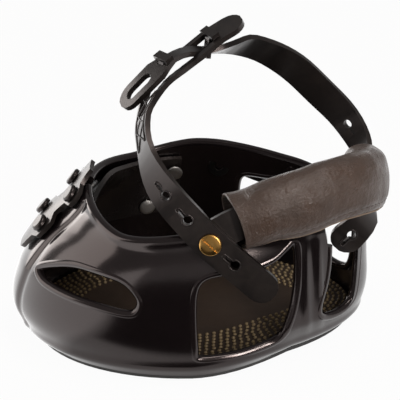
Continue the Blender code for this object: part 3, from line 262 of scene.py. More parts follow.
class Surfaces:
    """Every finish of the boot, made once."""

    # Injection moulded polyurethane: brown-black and glossy, with slightly warm reflections
    shell = Finish("moulded_polyurethane", "#161112", "#0f0c0d", 0.17, 0.04, 45.0, 0.9, 0.012,
                   "#5f5250", 0.2, ior=1.48, coat=0.2, coat_roughness=0.1, tint="#ffeae6")
    # Die-cut moulded strap: black and satin, its edges and corners paler
    strap = Finish("satin_polyurethane_strap", "#110f0f", "#0d0c0c", 0.31, 0.03, 18.0, 0.6, 0.02,
                   "#6a5f58", 0.1, ior=1.42, coat=0.1, coat_roughness=0.2, tint="#ffebe6")
    # Moulded rubber: matt, with the edges of its lugs paler from dust
    tread = Finish("moulded_tread_rubber", "#1d1b1a", "#141312", 0.55, 0.1, 12.0, 0.5, 0.05, "#5d5853", 0.4)
    # Moulded footbed: dull brown, a little paler on its edges
    footbed = Finish("pinned_footbed", "#382c23", "#271e18", 0.6, 0.08, 16.0, 0.7, 0.06, "#5a4a38", 0.3,
                     ior=1.35)
    # Painted highlight: the pins' tips are paler than the bed between them, standing in for the light that
    # they catch
    pins = Finish("rubbed_pin_tips", "#85724f", "#5e4f3a", 0.5, 0.08, 9.0, 0.4, 0.03)
    # Soft calendered sheet: near black, its folds painted paler as a painted sheen
    tongue = Finish("soft_black_tongue", "#1f1a19", "#131010", 0.27, 0.08, 20.0, 0.6, 0.03, "#5b524e", 0.3)
    # Neoprene faced with brown cloth: soft sheen, deep soft creases, threads near a millimetre
    gaiter = WovenFinish("brown_faced_neoprene", "#4e3c32", "#2d2018", 0.38, 0.15, 11.0, 0.9, 1.7,
                         "#7d6c5f", 0.3, sheen=0.04, pattern=Pattern.CLOTH)
    # The pale band along the hem is the neoprene's cut edge, its paleness a painted highlight of the light
    # that the cut catches
    cut_edge = Finish("cut_neoprene_edge", "#94816f", "#6d5d50", 0.8, 0.05, 6.0, 0.5, 0.08)
    # Closed cell foam: dull, and faintly pitted where its cells are cut
    foam = Finish("closed_cell_foam", "#2a2726", "#1f1c1c", 0.85, 0.05, 8.0, 0.7, 0.12)
    # Bonded thread: brown like the cloth, its bonding a little glossy
    thread = Finish("bonded_brown_thread", "#4a3d36", "#3b302b", 0.6, 0.05, 3.0, 0.3, 0.05)
    # Turned brass: yellow, and rubbed brighter on its corners
    brass = TurnedFinish("worn_turned_brass", "#c79a58", "#99713a", 0.3, 0.09, 3.0, 0.35, 0.02, "#e6c07c",
                         0.7, metallic=1.0)
    # Turned steel: dark, with pale rubbed corners
    blackened = TurnedFinish("blackened_turned_steel", "#2c2a29", "#1f1d1c", 0.36, 0.08, 3.0, 0.35, 0.015,
                             "#8b857e", 0.4, metallic=1.0)
    # Turned stainless steel: pale, with a soft shine
    steel = TurnedFinish("stainless_rivet_steel", "#cfccc8", "#aeaba8", 0.4, 0.08, 3.0, 0.35, 0.015,
                         metallic=1.0)
    made: dict[str, Material] = {}

    @classmethod
    def of(cls, name: str) -> Material:
        """Return a finish's material by the finish's name here."""
        if name not in cls.made:
            cls.made[name] = getattr(cls, name).build()
        return cls.made[name]


# Meshes


def mesh_object(name: str, mesh: Mesh, material: Material) -> Object:
    """Link a new object that holds a mesh in one material.

    Args:
        name: The object's name.
        mesh: The mesh.
        material: Its one material.

    Returns:
        The new object.
    """
    obj = bpy.data.objects.new(name, mesh)
    bpy.context.scene.collection.objects.link(obj)
    mesh.materials.clear()
    mesh.materials.append(material)
    return obj


def shade(mesh: Mesh, material: Material, sharp_degrees: float) -> None:
    """Shade a mesh smooth between the edges that turn by more than an angle, in one material.

    Args:
        mesh: The mesh.
        material: Its one material.
        sharp_degrees: The angle above which an edge stays sharp.
    """
    mesh.shade_smooth()
    mesh.set_sharp_from_angle(angle=math.radians(sharp_degrees))
    mesh.materials.clear()
    mesh.materials.append(material)


def from_bmesh(name: str, work: bmesh.types.BMesh, material: Material, turn_out: bool = True,
               sharp_degrees: float = 40.0) -> Object:
    """Finish a bmesh as a smooth object.

    Args:
        name: The piece's name.
        work: The mesh, which is freed.
        material: Its one material.
        turn_out: Whether the faces are turned outwards first.
        sharp_degrees: The angle above which an edge stays sharp.

    Returns:
        The new object.
    """
    if turn_out:
        bmesh.ops.recalc_face_normals(work, faces=work.faces)
    mesh = bpy.data.meshes.new(name)
    work.to_mesh(mesh)
    work.free()
    shade(mesh, material, sharp_degrees)
    return mesh_object(name, mesh, material)


def welded(mesh: Mesh, gap: float = 0.002 * MM) -> bmesh.types.BMesh:
    """Return a working copy of a mesh, with the points that lie closer than a gap made one.

    Args:
        mesh: The mesh.
        gap: The gap in metres.

    Returns:
        The working copy.
    """
    work = bmesh.new()
    work.from_mesh(mesh)
    bmesh.ops.remove_doubles(work, verts=work.verts, dist=gap)
    return work


def baked(obj: Object) -> Object:
    """Turn an object's modifiers into its own mesh and drop them.

    Args:
        obj: The object.

    Returns:
        The same object.
    """
    bpy.context.view_layer.update()
    result = bpy.data.meshes.new_from_object(obj.evaluated_get(bpy.context.evaluated_depsgraph_get()))
    obj.modifiers.clear()
    obj.data = result
    return obj


def bevel(obj: Object, width_mm: float, segments: int, degrees: float) -> None:
    """Round the edges of an object that turn by more than an angle.

    Args:
        obj: The object.
        width_mm: How wide the rounding is.
        segments: Its number of steps.
        degrees: The angle.
    """
    edge = obj.modifiers.new("rounded_edges", "BEVEL")
    edge.width = width_mm * MM
    edge.segments = segments
    edge.limit_method = "ANGLE"
    edge.angle_limit = math.radians(degrees)


def combine(obj: Object, tools: list[Object], material: Material, sharp_degrees: float) -> None:
    """Join the tools named boss to an object, cut the others out of it, and shade it in one material.

    Args:
        obj: The object.
        tools: The tools, which are removed.
        material: Its one material.
        sharp_degrees: The angle above which an edge stays sharp.
    """
    for tool in tools:
        step = obj.modifiers.new(tool.name, "BOOLEAN")
        step.operation = "UNION" if tool.name.startswith("boss") else "DIFFERENCE"
        step.object = tool
        step.solver = "EXACT"
    baked(obj)
    for tool in tools:
        bpy.data.objects.remove(tool)
    shade(obj.data, material, sharp_degrees)


def lofted(rings: list[Ring], capped: bool = True) -> bmesh.types.BMesh:
    """Join closed rings of points with faces.

    Args:
        rings: Rings with the same number of points.
        capped: Whether the first and last rings get a face.

    Returns:
        The mesh.
    """
    work = bmesh.new()
    rows = [[work.verts.new(p) for p in ring] for ring in rings]
    count = len(rows[0])
    for low, high in zip(rows, rows[1:]):
        for i in range(count):
            j = (i + 1) % count
            work.faces.new((low[i], low[j], high[j], high[i]))
    if capped:
        work.faces.new(rows[0])
        work.faces.new(rows[-1])
    return work


def circle(radius: float, height: float, sides: int, stretch: float = 1.0) -> Ring:
    """Return points round the Z axis at a height, stretched along X."""
    turns = [math.tau * i / sides for i in range(sides)]
    return [Vector((radius * math.cos(t) * stretch, radius * math.sin(t), height)) for t in turns]


def rounded_copy(node: str, name: str, finish: str, radius_mm: float, body: str,
                 sharp_degrees: float = 38.0) -> Object:
    """Replace a CAD node by a copy of it with its moulded edges rounded.

    Args:
        node: The CAD node.
        name: The piece's name.
        finish: The finish's name, which is also the record's material slot.
        radius_mm: The radius of the rounded edges.
        body: The body that it rides on.
        sharp_degrees: The angle above which an edge is rounded.

    Returns:
        The new piece.
    """
    work = welded(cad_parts[node].data)
    bmesh.ops.dissolve_limit(work, angle_limit=math.radians(FLAT_DEGREES), verts=work.verts, edges=work.edges)
    obj = from_bmesh(name, work, Surfaces.of(finish), turn_out=False)
    bevel(obj, radius_mm, segments=2, degrees=sharp_degrees)
    even = obj.modifiers.new("even_shading", "WEIGHTED_NORMAL")
    even.mode = "FACE_AREA_WITH_ANGLE"
    even.weight = 10
    even.keep_sharp = True
    return placed(baked(obj), body, finish, node)


def placed(obj: Object, body: str, slot: str, *nodes: str) -> Object:
    """Make a piece ride on a body and hide the nodes that it stands for.

    Args:
        obj: The piece.
        body: The body.
        slot: The record's material slot; not used.
        *nodes: The CAD nodes that it stands for.

    Returns:
        The piece.
    """
    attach(obj, body)
    if nodes:
        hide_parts(*nodes)
    LOG.info("%s on %s, %d faces", obj.name, body, len(obj.data.polygons))
    return obj


# Curves and tables


def hump(value: float, middle: float, half: float, power: int = 2) -> float:
    """Return a smooth hump: one at its middle, and about a third at half a width from it."""
    return math.exp(-(((value - middle) / half) ** power))


def between(ends: tuple[float, float], share: float) -> float:
    """Return the value at a share of the way from one end to the other."""
    return ends[0] + (ends[1] - ends[0]) * share


def smooth_value(points: tuple, share: float) -> object:
    """Return the value at a share of the way along a smooth curve through points.

    Args:
        points: Numbers or vectors, evenly spaced along the curve.
        share: The share, from nought to one.

    Returns:
        The number or vector there.
    """
    spans = len(points) - 1
    place = min(max(share, 0.0), 1.0) * spans
    index = min(int(place), spans - 1)
    t = place - index
    before, start = points[max(index - 1, 0)], points[index]
    end, after = points[index + 1], points[min(index + 2, spans)]
    return (start * 2 + (end - before) * t + (before * 2 - start * 5 + end * 4 - after) * t * t
            + (start * 3 - before - end * 3 + after) * t * t * t) * 0.5


def smooth_loop(points: list[Vector], steps: int = 6) -> list[Vector]:
    """Return a closed outline that runs smoothly through points, with steps points in each span.

    Args:
        points: The outline's corners.
        steps: The number of points in each span.

    Returns:
        The outline.
    """
    count = len(points)
    result = []
    for i in range(count):
        run = tuple(points[(i + k) % count] for k in (-1, 0, 1, 2))
        result += [smooth_value(run, (1 + step / steps) / 3) for step in range(steps)]
    return result


def table_value(table: tuple, key: float, column: int) -> float:
    """Read a column of a table at a key, smoothly between rows and straight beyond them.

    Args:
        table: Rows in the order of their first column.
        key: A value of the first column.
        column: The column's number.

    Returns:
        The value.
    """
    if key <= table[0][0]:
        low, high = table[0], table[1]
    elif key >= table[-1][0]:
        low, high = table[-2], table[-1]
    else:
        row = next(i for i in range(len(table) - 1) if table[i + 1][0] >= key)
        low, high = table[row], table[row + 1]
        before, after = table[max(row - 1, 0)], table[min(row + 2, len(table) - 1)]
        width = high[0] - low[0]
        t = (key - low[0]) / width
        start = (high[column] - before[column]) / (high[0] - before[0]) * width
        end = (after[column] - low[column]) / (after[0] - low[0]) * width
        return ((2 * t ** 3 - 3 * t ** 2 + 1) * low[column] + (t ** 3 - 2 * t ** 2 + t) * start
                + (3 * t ** 2 - 2 * t ** 3) * high[column] + (t ** 3 - t ** 2) * end)
    return low[column] + (high[column] - low[column]) * (key - low[0]) / (high[0] - low[0])


# Geometry Nodes


class Repeater:
    """Two node trees: one sets copies of a small part on points, the other sweeps a bead along a path."""

    def __init__(self) -> None:
        """Build both trees."""
        self.copies = self.copy_tree()
        self.bead = self.bead_tree()

    @staticmethod
    def empty_tree(name: str, **inputs: str) -> tuple:
        """Start a tree with a geometry input, named inputs and a geometry output.

        Args:
            name: The tree's name.
            **inputs: The socket type of each named input.

        Returns:
            The tree, the sockets that its inputs give and the identifiers of the named ones.
        """
        tree = bpy.data.node_groups.new(name, "GeometryNodeTree")
        tree.interface.new_socket(name="Path", in_out="INPUT", socket_type="NodeSocketGeometry")
        keys = {label: tree.interface.new_socket(name=label, in_out="INPUT", socket_type=kind).identifier
                for label, kind in inputs.items()}
        tree.interface.new_socket(name="Result", in_out="OUTPUT", socket_type="NodeSocketGeometry")
        return tree, add_node(tree, "NodeGroupInput").outputs, keys

    @staticmethod
    def end_tree(tree: NodeTree, shape: NodeSocket, finish: NodeSocket) -> None:
        """End a tree with Realize Instances, Set Material and its output.

        Args:
            tree: The tree.
            shape: What it has made.
            finish: The material that it is given.
        """
        real = add_node(tree, "GeometryNodeRealizeInstances", i0=shape).outputs[0]
        done = add_node(tree, "GeometryNodeSetMaterial", i0=real, Material=finish).outputs[0]
        add_node(tree, "NodeGroupOutput", i0=done)

    def copy_tree(self) -> tuple:
        """Build the tree that sets copies of a part on points, facing out and along.

        Returns:
            The tree and its inputs' identifiers.
        """
        tree, given, keys = self.empty_tree("copies_on_points", Part="NodeSocketObject",
                                            Finish="NodeSocketMaterial")
        part = add_node(tree, "GeometryNodeObjectInfo", Object=given["Part"]).outputs["Geometry"]
        outward, along = (add_node(tree, "GeometryNodeInputNamedAttribute", {"data_type": "FLOAT_VECTOR"},
                                   Name=label).outputs["Attribute"] for label in ("outward", "along"))
        up = add_node(tree, "FunctionNodeAlignRotationToVector", {"axis": "Z"}, Vector=outward).outputs[0]
        turned = add_node(tree, "FunctionNodeAlignRotationToVector", {"axis": "X", "pivot_axis": "Z"},
                          Rotation=up, Vector=along).outputs[0]
        copies = add_node(tree, "GeometryNodeInstanceOnPoints", Points=given["Path"], Instance=part,
                          Rotation=turned).outputs[0]
        self.end_tree(tree, copies, given["Finish"])
        return tree, keys

    def bead_tree(self) -> tuple:
        """Build the tree that sweeps a round bead along a path of edges.

        Returns:
            The tree and its inputs' identifiers.
        """
        tree, given, keys = self.empty_tree("bead_along_path", Radius="NodeSocketFloat",
                                            Sides="NodeSocketInt", Finish="NodeSocketMaterial")
        path = add_node(tree, "GeometryNodeMeshToCurve", i0=given["Path"]).outputs[0]
        ring = add_node(tree, "GeometryNodeCurvePrimitiveCircle", Resolution=given["Sides"],
                        Radius=given["Radius"]).outputs[0]
        tube = add_node(tree, "GeometryNodeCurveToMesh", Curve=path, Profile_Curve=ring,
                        Fill_Caps=True).outputs[0]
        self.end_tree(tree, tube, given["Finish"])
        return tree, keys

    @staticmethod
    def run(obj: Object, tree: tuple, **values: object) -> Object:
        """Run a tree on an object and keep the result as its plain mesh.

        Args:
            obj: The object whose mesh is the path or the points.
            tree: The tree and its inputs' identifiers.
            **values: A value for each named input, the Finish among them.

        Returns:
            The object, with a plain mesh and no modifier.
        """
        group, keys = tree
        step = obj.modifiers.new("repeat", "NODES")
        step.node_group = group
        for label, value in values.items():
            step[keys[label]] = value
        work = welded(baked(obj).data, 0.0005 * MM)
        bmesh.ops.recalc_face_normals(work, faces=work.faces)
        work.to_mesh(obj.data)
        work.free()
        shade(obj.data, values["Finish"], sharp_degrees=50.0)
        return obj

    def sweep(self, name: str, points: list[Vector], radius_mm: float, finish: str, body: str,
              closed: bool = True) -> Object:
        """Sweep a bead along points.

        Args:
            name: The piece's name.
            points: The bead's middle line.
            radius_mm: The bead's radius.
            finish: The finish's name, which is also the record's material slot.
            body: The body that it rides on.
            closed: Whether the line closes on itself.

        Returns:
            The bead.
        """
        mesh = bpy.data.meshes.new(name)
        edges = [(i, i + 1) for i in range(len(points) - 1)]
        if closed:
            edges.append((len(points) - 1, 0))
        mesh.from_pydata(points, edges, [])
        material = Surfaces.of(finish)
        bead = self.run(mesh_object(name, mesh, material), self.bead, Radius=radius_mm * MM, Sides=10,
                        Finish=material)
        return placed(bead, body, finish)

    def scatter(self, name: str, spots: list[tuple[Vector, Vector, Vector]], part: Object, finish: str,
                body: str, slot: str) -> Object:
        """Set a copy of a part on each spot and remove the part.

        Args:
            name: The piece's name.
            spots: Each copy's place, outward direction and direction along the row.
            part: The part, with its Z outwards and its X along.
            finish: The finish's name.
            body: The body that it rides on.
            slot: The record's material slot.

        Returns:
            The piece.
        """
        mesh = bpy.data.meshes.new(name)
        mesh.from_pydata([spot[0] for spot in spots], [], [])
        for label, column in (("outward", 1), ("along", 2)):
            data = mesh.attributes.new(label, "FLOAT_VECTOR", "POINT")
            for i, spot in enumerate(spots):
                data.data[i].vector = spot[column]
        material = Surfaces.of(finish)
        copies = self.run(mesh_object(name, mesh, material), self.copies, Part=part, Finish=material)
        bpy.data.objects.remove(part)
        return placed(copies, body, slot)


def small_part(name: str, profile: tuple, sides: int, stretch: float = 1.0) -> Object:
    """Turn a small profile of radius and height in millimetres, stretched along X, as a part to repeat."""
    rings = [[p * MM for p in circle(radius, height, sides, stretch)] for radius, height in profile]
    return from_bmesh(name, lofted(rings), Surfaces.of("strap"))


# Sub-assemblies


def pivot_axis(side: int) -> Vector:
    """Return the way that a pivot screw's head looks: outwards on the line through both pivots."""
    return Vector((side * PIVOT_LINE[0], 0, side * PIVOT_LINE[1]))


@dataclass
class ShellForm:
    """The shell's outline at every height, in metres, as the solids have it."""

    toe_reach: float = 0.087
    heel_reach: float = 0.0825
    half_width: float = 0.0585
    front_rim: float = 0.0775
    wall: float = 0.004
    base: float = 0.004
    floor_top: float = 0.008
    front_roundness: float = 1.97
    rear_roundness: float = 1.72
    pivot_y: float = 0.012
    pivot_ear_half: float = 0.013
    pivot_ear_height: float = 0.0025
    taper: float = 0.2
    taper_top: float = 0.26
    taper_full: float = 0.6
    # Rows of a height, as a share of the front rim, and of the toe's, heel's and half width's shares there
    profile: tuple = (
        (0.05, 0.9, 0.895, 0.975), (0.10, 0.945, 0.945, 0.995), (0.26, 1.0, 0.995, 1.01),
        (0.48, 0.945, 1.0, 0.99), (0.61, 0.87, 1.0, 0.975), (0.74, 0.77, 1.0, 0.95),
        (0.85, 0.655, 0.995, 0.915), (1.0, 0.54, 0.97, 0.86),
    )
    # Rows of a place, from the toe to the heel, and of the rim's height there
    rim: tuple = (
        (-1.0, 1.0), (-0.84, 0.965), (-0.69, 0.935), (-0.55, 0.915), (-0.4, 0.918), (-0.2, 0.935),
        (0.0, 0.95), (0.15, 0.945), (0.29, 0.925), (0.41, 0.905), (0.53, 0.885), (0.65, 0.87),
        (0.74, 0.845), (0.8, 0.8), (0.88, 0.71), (0.94, 0.68), (1.0, 0.675),
    )
    # Outlines as shares of the heel's reach and of the front rim
    quarter_window: tuple = (
        (0.035, 0.165), (0.022, 0.25), (0.022, 0.45), (0.035, 0.6), (0.075, 0.68), (0.16, 0.71),
        (0.34, 0.71), (0.46, 0.73), (0.54, 0.785), (0.58, 0.81), (0.605, 0.77), (0.61, 0.66),
        (0.598, 0.5), (0.56, 0.33), (0.49, 0.2), (0.34, 0.158), (0.16, 0.15),
    )
    rear_notch: tuple = (
        (0.765, 0.95), (0.775, 0.7), (0.755, 0.5), (0.71, 0.33), (0.725, 0.255), (0.79, 0.215),
        (0.86, 0.215), (0.91, 0.26), (0.935, 0.4), (0.95, 0.62), (0.965, 0.95),
    )
    # The near vent's corners as shares of the half width, the toe's reach and the front rim
    vent: tuple = (
        (0.32, -0.79, 0.55), (0.47, -0.69, 0.63), (0.62, -0.56, 0.68), (0.79, -0.4, 0.68),
        (0.88, -0.31, 0.65), (0.93, -0.25, 0.56), (0.94, -0.27, 0.48), (0.91, -0.33, 0.45),
        (0.82, -0.49, 0.47), (0.58, -0.7, 0.49), (0.42, -0.78, 0.505),
    )
    vent_direction: tuple[float, float, float] = (0.85, -0.53, 0.2)
    # Where the wall is sought along that direction, and how many times that span is halved
    vent_search: tuple[float, float] = (-30 * MM, 40 * MM)
    vent_halvings: int = 24
    far_vent_share: float = 0.66
    far_window_share: float = 0.64

    def reach(self, height: float, rear: bool) -> tuple[float, float]:
        """Return the reach and the roundness at a height of the toe or heel half.

        Args:
            height: The height.
            rear: Whether it is the heel half.

        Returns:
            The reach and the roundness.
        """
        share = height / self.front_rim
        if rear:
            return self.heel_reach * table_value(self.profile, share, 2), self.rear_roundness
        return self.toe_reach * table_value(self.profile, share, 1), self.front_roundness

    def half(self, height: float, along: float) -> float:
        """Return the half width at a height; along runs from the middle (0) to the heel (1).

        Args:
            height: The height.
            along: The share of the way from the middle to the heel.

        Returns:
            The half width, drawn in at the heel near the floor.
        """
        share = height / self.front_rim
        draw = max(0.0, 1 - share / self.taper_top) * min(1.0, max(0.0, along) / self.taper_full) ** 2
        return self.half_width * (table_value(self.profile, share, 3) - self.taper * draw)

    def point(self, angle: float, height: float, inset: float = 0.0) -> Vector:
        """Return the outer wall at an angle from the near side, moved in by inset.

        Args:
            angle: The angle, from the near side towards the heel.
            height: The height.
            inset: How far inside the outer wall.

        Returns:
            The point.
        """
        across, along = math.cos(angle), math.sin(angle)
        reach, roundness = self.reach(height, along >= 0)
        along = math.copysign(abs(along) ** (2 / roundness), along)
        x = (self.half(height, along) - inset) * math.copysign(abs(across) ** (2 / roundness), across)
        return Vector((x, (reach - inset) * along, height))

    def side(self, y: float, height: float, inset: float = 0.0) -> float:
        """Return the outer half width at a place along the length.

        Args:
            y: The place along the length.
            height: The height.
            inset: How far inside the outer wall.

        Returns:
            The half width, nought beyond the ends.
        """
        reach, roundness = self.reach(height, y >= 0)
        half = self.half(height, y / (reach - inset)) - inset
        return half * max(0.0, 1 - (abs(y) / (reach - inset)) ** roundness) ** (1 / roundness)

    def rim_height(self, angle: float) -> float:
        """Return the height of the rim at an angle from the near side.

        Args:
            angle: The angle.

        Returns:
            The height, with a low ear over the near pivot.
        """
        along = math.sin(angle)
        roundness = self.rear_roundness if along >= 0 else self.front_roundness
        share = math.copysign(abs(along) ** (2 / roundness), along)
        height = self.front_rim * table_value(self.rim, share, 1)
        offset = (share * self.heel_reach - self.pivot_y) / self.pivot_ear_half
        if math.cos(angle) > 0 and abs(offset) < 1:
            height += self.pivot_ear_height * math.cos(offset * math.pi / 2) ** 2
        return height

    def window_shares(self, side: int) -> tuple:
        """Return the quarter window's outline; the far one is shorter and starts further back.

        Args:
            side: One for the near side and minus one for the far side.

        Returns:
            Shares of the heel reach and of the front rim.
        """
        if side > 0:
            return self.quarter_window
        rear = max(y for y, _ in self.quarter_window)
        return tuple((rear + (y - rear) * self.far_window_share, z) for y, z in self.quarter_window)

    def window_line(self, shares: tuple, side: int, inset: float) -> list[Vector]:
        """Return a side window's edge on the wall, as a smooth closed line."""
        flat = [Vector((y * self.heel_reach, z * self.front_rim)) for y, z in shares]
        return [Vector((self.side(p.x, p.y, inset) * side, p.x, p.y)) for p in smooth_loop(flat)]

    def vent_frame(self, side: int) -> tuple[Matrix, list[Vector]]:
        """Return the frame of a vent's cutter and the vent's outline in it.

        Args:
            side: One for the near side and minus one for the far side.

        Returns:
            The frame, and the outline flat in its XY plane.
        """
        length = 1.0 if side > 0 else self.far_vent_share
        toe_x, toe_y, _ = self.vent[0]
        corners = [Vector(((toe_x + (x - toe_x) * length) * self.half_width * side,
                           (toe_y + (y - toe_y) * length) * self.toe_reach, z * self.front_rim))
                   for x, y, z in self.vent]
        direction = Vector(self.vent_direction)
        direction.x *= side
        z_axis = direction.normalized()
        x_axis = (Vector((0, 0, 1)) - z_axis * z_axis.z).normalized()
        turn = Matrix((x_axis, z_axis.cross(x_axis), z_axis)).transposed().to_4x4()
        turn.translation = sum(corners, Vector()) / len(corners)
        return turn, [(turn.inverted() @ c).xy.to_3d() for c in corners]

    def vent_line(self, side: int, inset: float) -> list[Vector]:
        """Return a vent's edge on the wall, found along the cutter's direction.

        Args:
            side: One for the near side and minus one for the far side.
            inset: How far inside the outer wall.

        Returns:
            The closed line.
        """
        turn, flat = self.vent_frame(side)
        line = []
        for corner in smooth_loop(flat):
            low, high = self.vent_search
            for _ in range(self.vent_halvings):
                middle = (low + high) / 2
                p = turn @ Vector((corner.x, corner.y, middle))
                if abs(p.x) < self.side(p.y, p.z, inset):
                    low = middle
                else:
                    high = middle
            line.append(turn @ Vector((corner.x, corner.y, low)))
        return line


@dataclass
class MouldedShell:
    """The boot's one-piece moulded upper, with rolled rim, ridge, windows, notches and column ribs."""

    form: ShellForm
    repeat: Repeater
    stations: int = 300
    levels: int = 44
    inner_levels: int = 18
    rim_steps: int = 8
    # The floor's inner rings, as shares of its edge
    floor_shares: tuple[float, ...] = (0.6, 0.25)
    rim_bead: float = 0.0008
    ridge_end: float = -0.02
    ridge_half: float = 0.0165
    ridge_edge: float = 0.0016
    ridge_steepness: float = 2.2
    exponent_limit: float = 20.0
    groove_place: float = 1.2
    ridge_height: float = 0.0009
    groove_depth: float = 0.0006
    rib_height: float = 0.0011
    rib_half: float = 0.0015
    rib_zone: tuple[float, float] = (0.045, 0.068)
    rib_lines: tuple[float, ...] = (0.0535, 0.0595)
    # The middle and half length of the ribs, up the wall
    rib_levels: tuple[float, float] = (0.037, 0.022)
    welt_height: float = 0.0009
    welt_level: float = 0.0085
    bead_half: float = 0.0022
    slit_half: float = 0.004
    slit_floor: float = 0.05
    slit_top: float = 0.09
    slit_steps: int = 16
    # The middle and half length of the slit's cutter, as shares of the toe's reach
    slit_cut: tuple[float, float] = (0.75, 0.5)
    window_depth: float = 0.03
    notch_depth: float = 0.075
    vent_depth: float = 0.016
    boss_radius: float = 0.006
    boss_sides: int = 48
    boss_chamfer: float = 0.0004
    boss_root: float = -0.002
    boss_proud: tuple[float, float] = (0.0014, 0.0028)
    window_lip_mm: float = 2.25
    notch_lip_mm: float = 2.2
    vent_lip_mm: float = 2.3
    notch_lip_top: float = 0.0545

    def relief(self, at: Vector) -> float:
        """Return how far the wall stands proud at a place: ridge, groove, ribs and welt.

        Args:
            at: The place on the outer wall.

        Returns:
            The height of the relief.
        """
        out = 0.0
        if at.y < self.ridge_end:
            edge = (abs(at.x) - self.ridge_half) / self.ridge_edge
            slope = max(-self.exponent_limit, min(self.exponent_limit, edge * self.ridge_steepness))
            out += self.ridge_height / (1 + math.exp(slope))
            out -= self.groove_depth * hump(edge, self.groove_place, 1.0)
        if self.rib_zone[0] < at.y < self.rib_zone[1]:
            fade = hump(at.z, *self.rib_levels, power=4)
            out += self.rib_height * fade * sum(hump(at.y, y, self.rib_half) for y in self.rib_lines)
        return out + self.welt_height * hump(at.z, self.welt_level, self.bead_half)

    def rings(self) -> list[Ring]:
        """Return the shell's rings: up the outside, over the rolled rim, down the inside, over the floor.

        Returns:
            The rings, all with the same number of points.
        """
        form = self.form
        angles = [math.tau * i / self.stations for i in range(self.stations)]
        rims = [(a, form.rim_height(a) - form.wall / 2) for a in angles]
        result = []
        for level in range(self.levels + 1):
            ring = []
            for angle, top in rims:
                height = between((form.base, top), level / self.levels)
                bead = self.rim_bead * hump(top, height, self.bead_half)
                ring.append(form.point(angle, height, -self.relief(form.point(angle, height)) - bead))
            result.append(ring)
        for step in range(1, self.rim_steps):
            turn = math.pi * step / self.rim_steps
            inset = form.wall / 2 * (1 - math.cos(turn)) - self.rim_bead * (1 - step / self.rim_steps)
            lift = Vector((0, 0, form.wall / 2 * math.sin(turn)))
            result.append([form.point(a, top, inset) + lift for a, top in rims])
        for level in range(self.inner_levels + 1):
            share = 1 - level / self.inner_levels
            result.append([form.point(a, between((form.floor_top, top), share), form.wall)
                           for a, top in rims])
        for share in self.floor_shares:
            ring = [form.point(a, form.floor_top, form.wall) * share for a in angles]
            result.append([Vector((p.x, p.y, form.floor_top)) for p in ring])
        return result

    def cutter(self, line: list[Vector], frame_in: Matrix, depth: float) -> Object:
        """Make a prism from an outline in a frame's XY plane, to cut with."""
        rings = [[frame_in @ Vector((p.x, p.y, z)) for p in line] for z in (-depth, depth)]
        return from_bmesh("cutter", lofted(rings), Surfaces.of("shell"))

    def cutters(self) -> list[Object]:
        """Return a cutter for each window, notch, vent and the slit.

        Returns:
            The cutters.
        """
        form = self.form
        across = Matrix(((0, 0, 1, 0), (1, 0, 0, 0), (0, 1, 0, 0), (0, 0, 0, 1)))
        made = []
        for shares, middle, depth in ((form.window_shares(1), form.half_width, self.window_depth),
                                      (form.window_shares(-1), -form.half_width, self.window_depth),
                                      (form.rear_notch, 0.0, self.notch_depth)):
            flat = [Vector((y * form.heel_reach, z * form.front_rim, 0)) for y, z in shares]
            made.append(self.cutter(smooth_loop(flat), Matrix.Translation((middle, 0, 0)) @ across, depth))
        for side in (1, -1):
            turn, flat = form.vent_frame(side)
            made.append(self.cutter(smooth_loop(flat), turn, self.vent_depth))
        half = self.slit_half
        slit = [Vector((half, self.slit_top, 0)), Vector((-half, self.slit_top, 0))]
        for step in range(self.slit_steps + 1):
            turn = math.pi * (1 + step / self.slit_steps)
            slit.append(Vector((half * math.cos(turn), self.slit_floor + half * (1 + math.sin(turn)), 0)))
        middle, depth = (form.toe_reach * share for share in self.slit_cut)
        forward = Matrix(((1, 0, 0, 0), (0, 0, 1, -middle), (0, 1, 0, 0), (0, 0, 0, 1)))
        return made + [self.cutter(slit, forward, depth)]

    def bosses(self) -> list[Object]:
        """Return the two flat round bosses that the straps lie on, as bodies to join to the shell.

        Returns:
            The bosses.
        """
        made = []
        for label, side, proud in zip(("near", "far"), (1, -1), self.boss_proud):
            low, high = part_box(f"strap_screw_{label}")
            level = ((low + high) / 2).z
            turn = pivot_axis(side).to_track_quat("Z", "Y").to_matrix().to_4x4()
            turn.translation = (side * self.form.side(self.form.pivot_y, level), self.form.pivot_y, level)
            rings = [[turn @ p for p in circle(radius, z, self.boss_sides)]
                     for radius, z in ((self.boss_radius, self.boss_root),
                                       (self.boss_radius, proud - self.boss_chamfer),
                                       (self.boss_radius - self.boss_chamfer, proud))]
            made.append(from_bmesh("boss", lofted(rings), Surfaces.of("shell")))
        return made

    def build(self) -> None:
        """Make the shell, and roll a moulded lip round each window, notch and vent."""
        material = Surfaces.of("shell")
        shell = from_bmesh("moulded_shell", lofted(self.rings()), material)
        combine(shell, self.cutters() + self.bosses(), material, sharp_degrees=42.0)
        placed(shell, "boot", "shell", "shell")
        form = self.form
        middle = form.wall / 2
        for side, label in ((1, "near"), (-1, "far")):
            window = form.window_line(form.window_shares(side), side, middle)
            notch = [p for p in form.window_line(form.rear_notch, side, middle) if p.z < self.notch_lip_top]
            start = max(range(len(notch)), key=lambda i: (notch[i] - notch[i - 1]).length)
            for kind, line, radius, closed in (
                    ("quarter_window", window, self.window_lip_mm, True),
                    ("rear_notch", notch[start:] + notch[:start], self.notch_lip_mm, False),
                    ("vent", form.vent_line(side, middle), self.vent_lip_mm, True)):
                self.repeat.sweep(f"{kind}_lip_{label}", line, radius, "shell", "boot", closed)


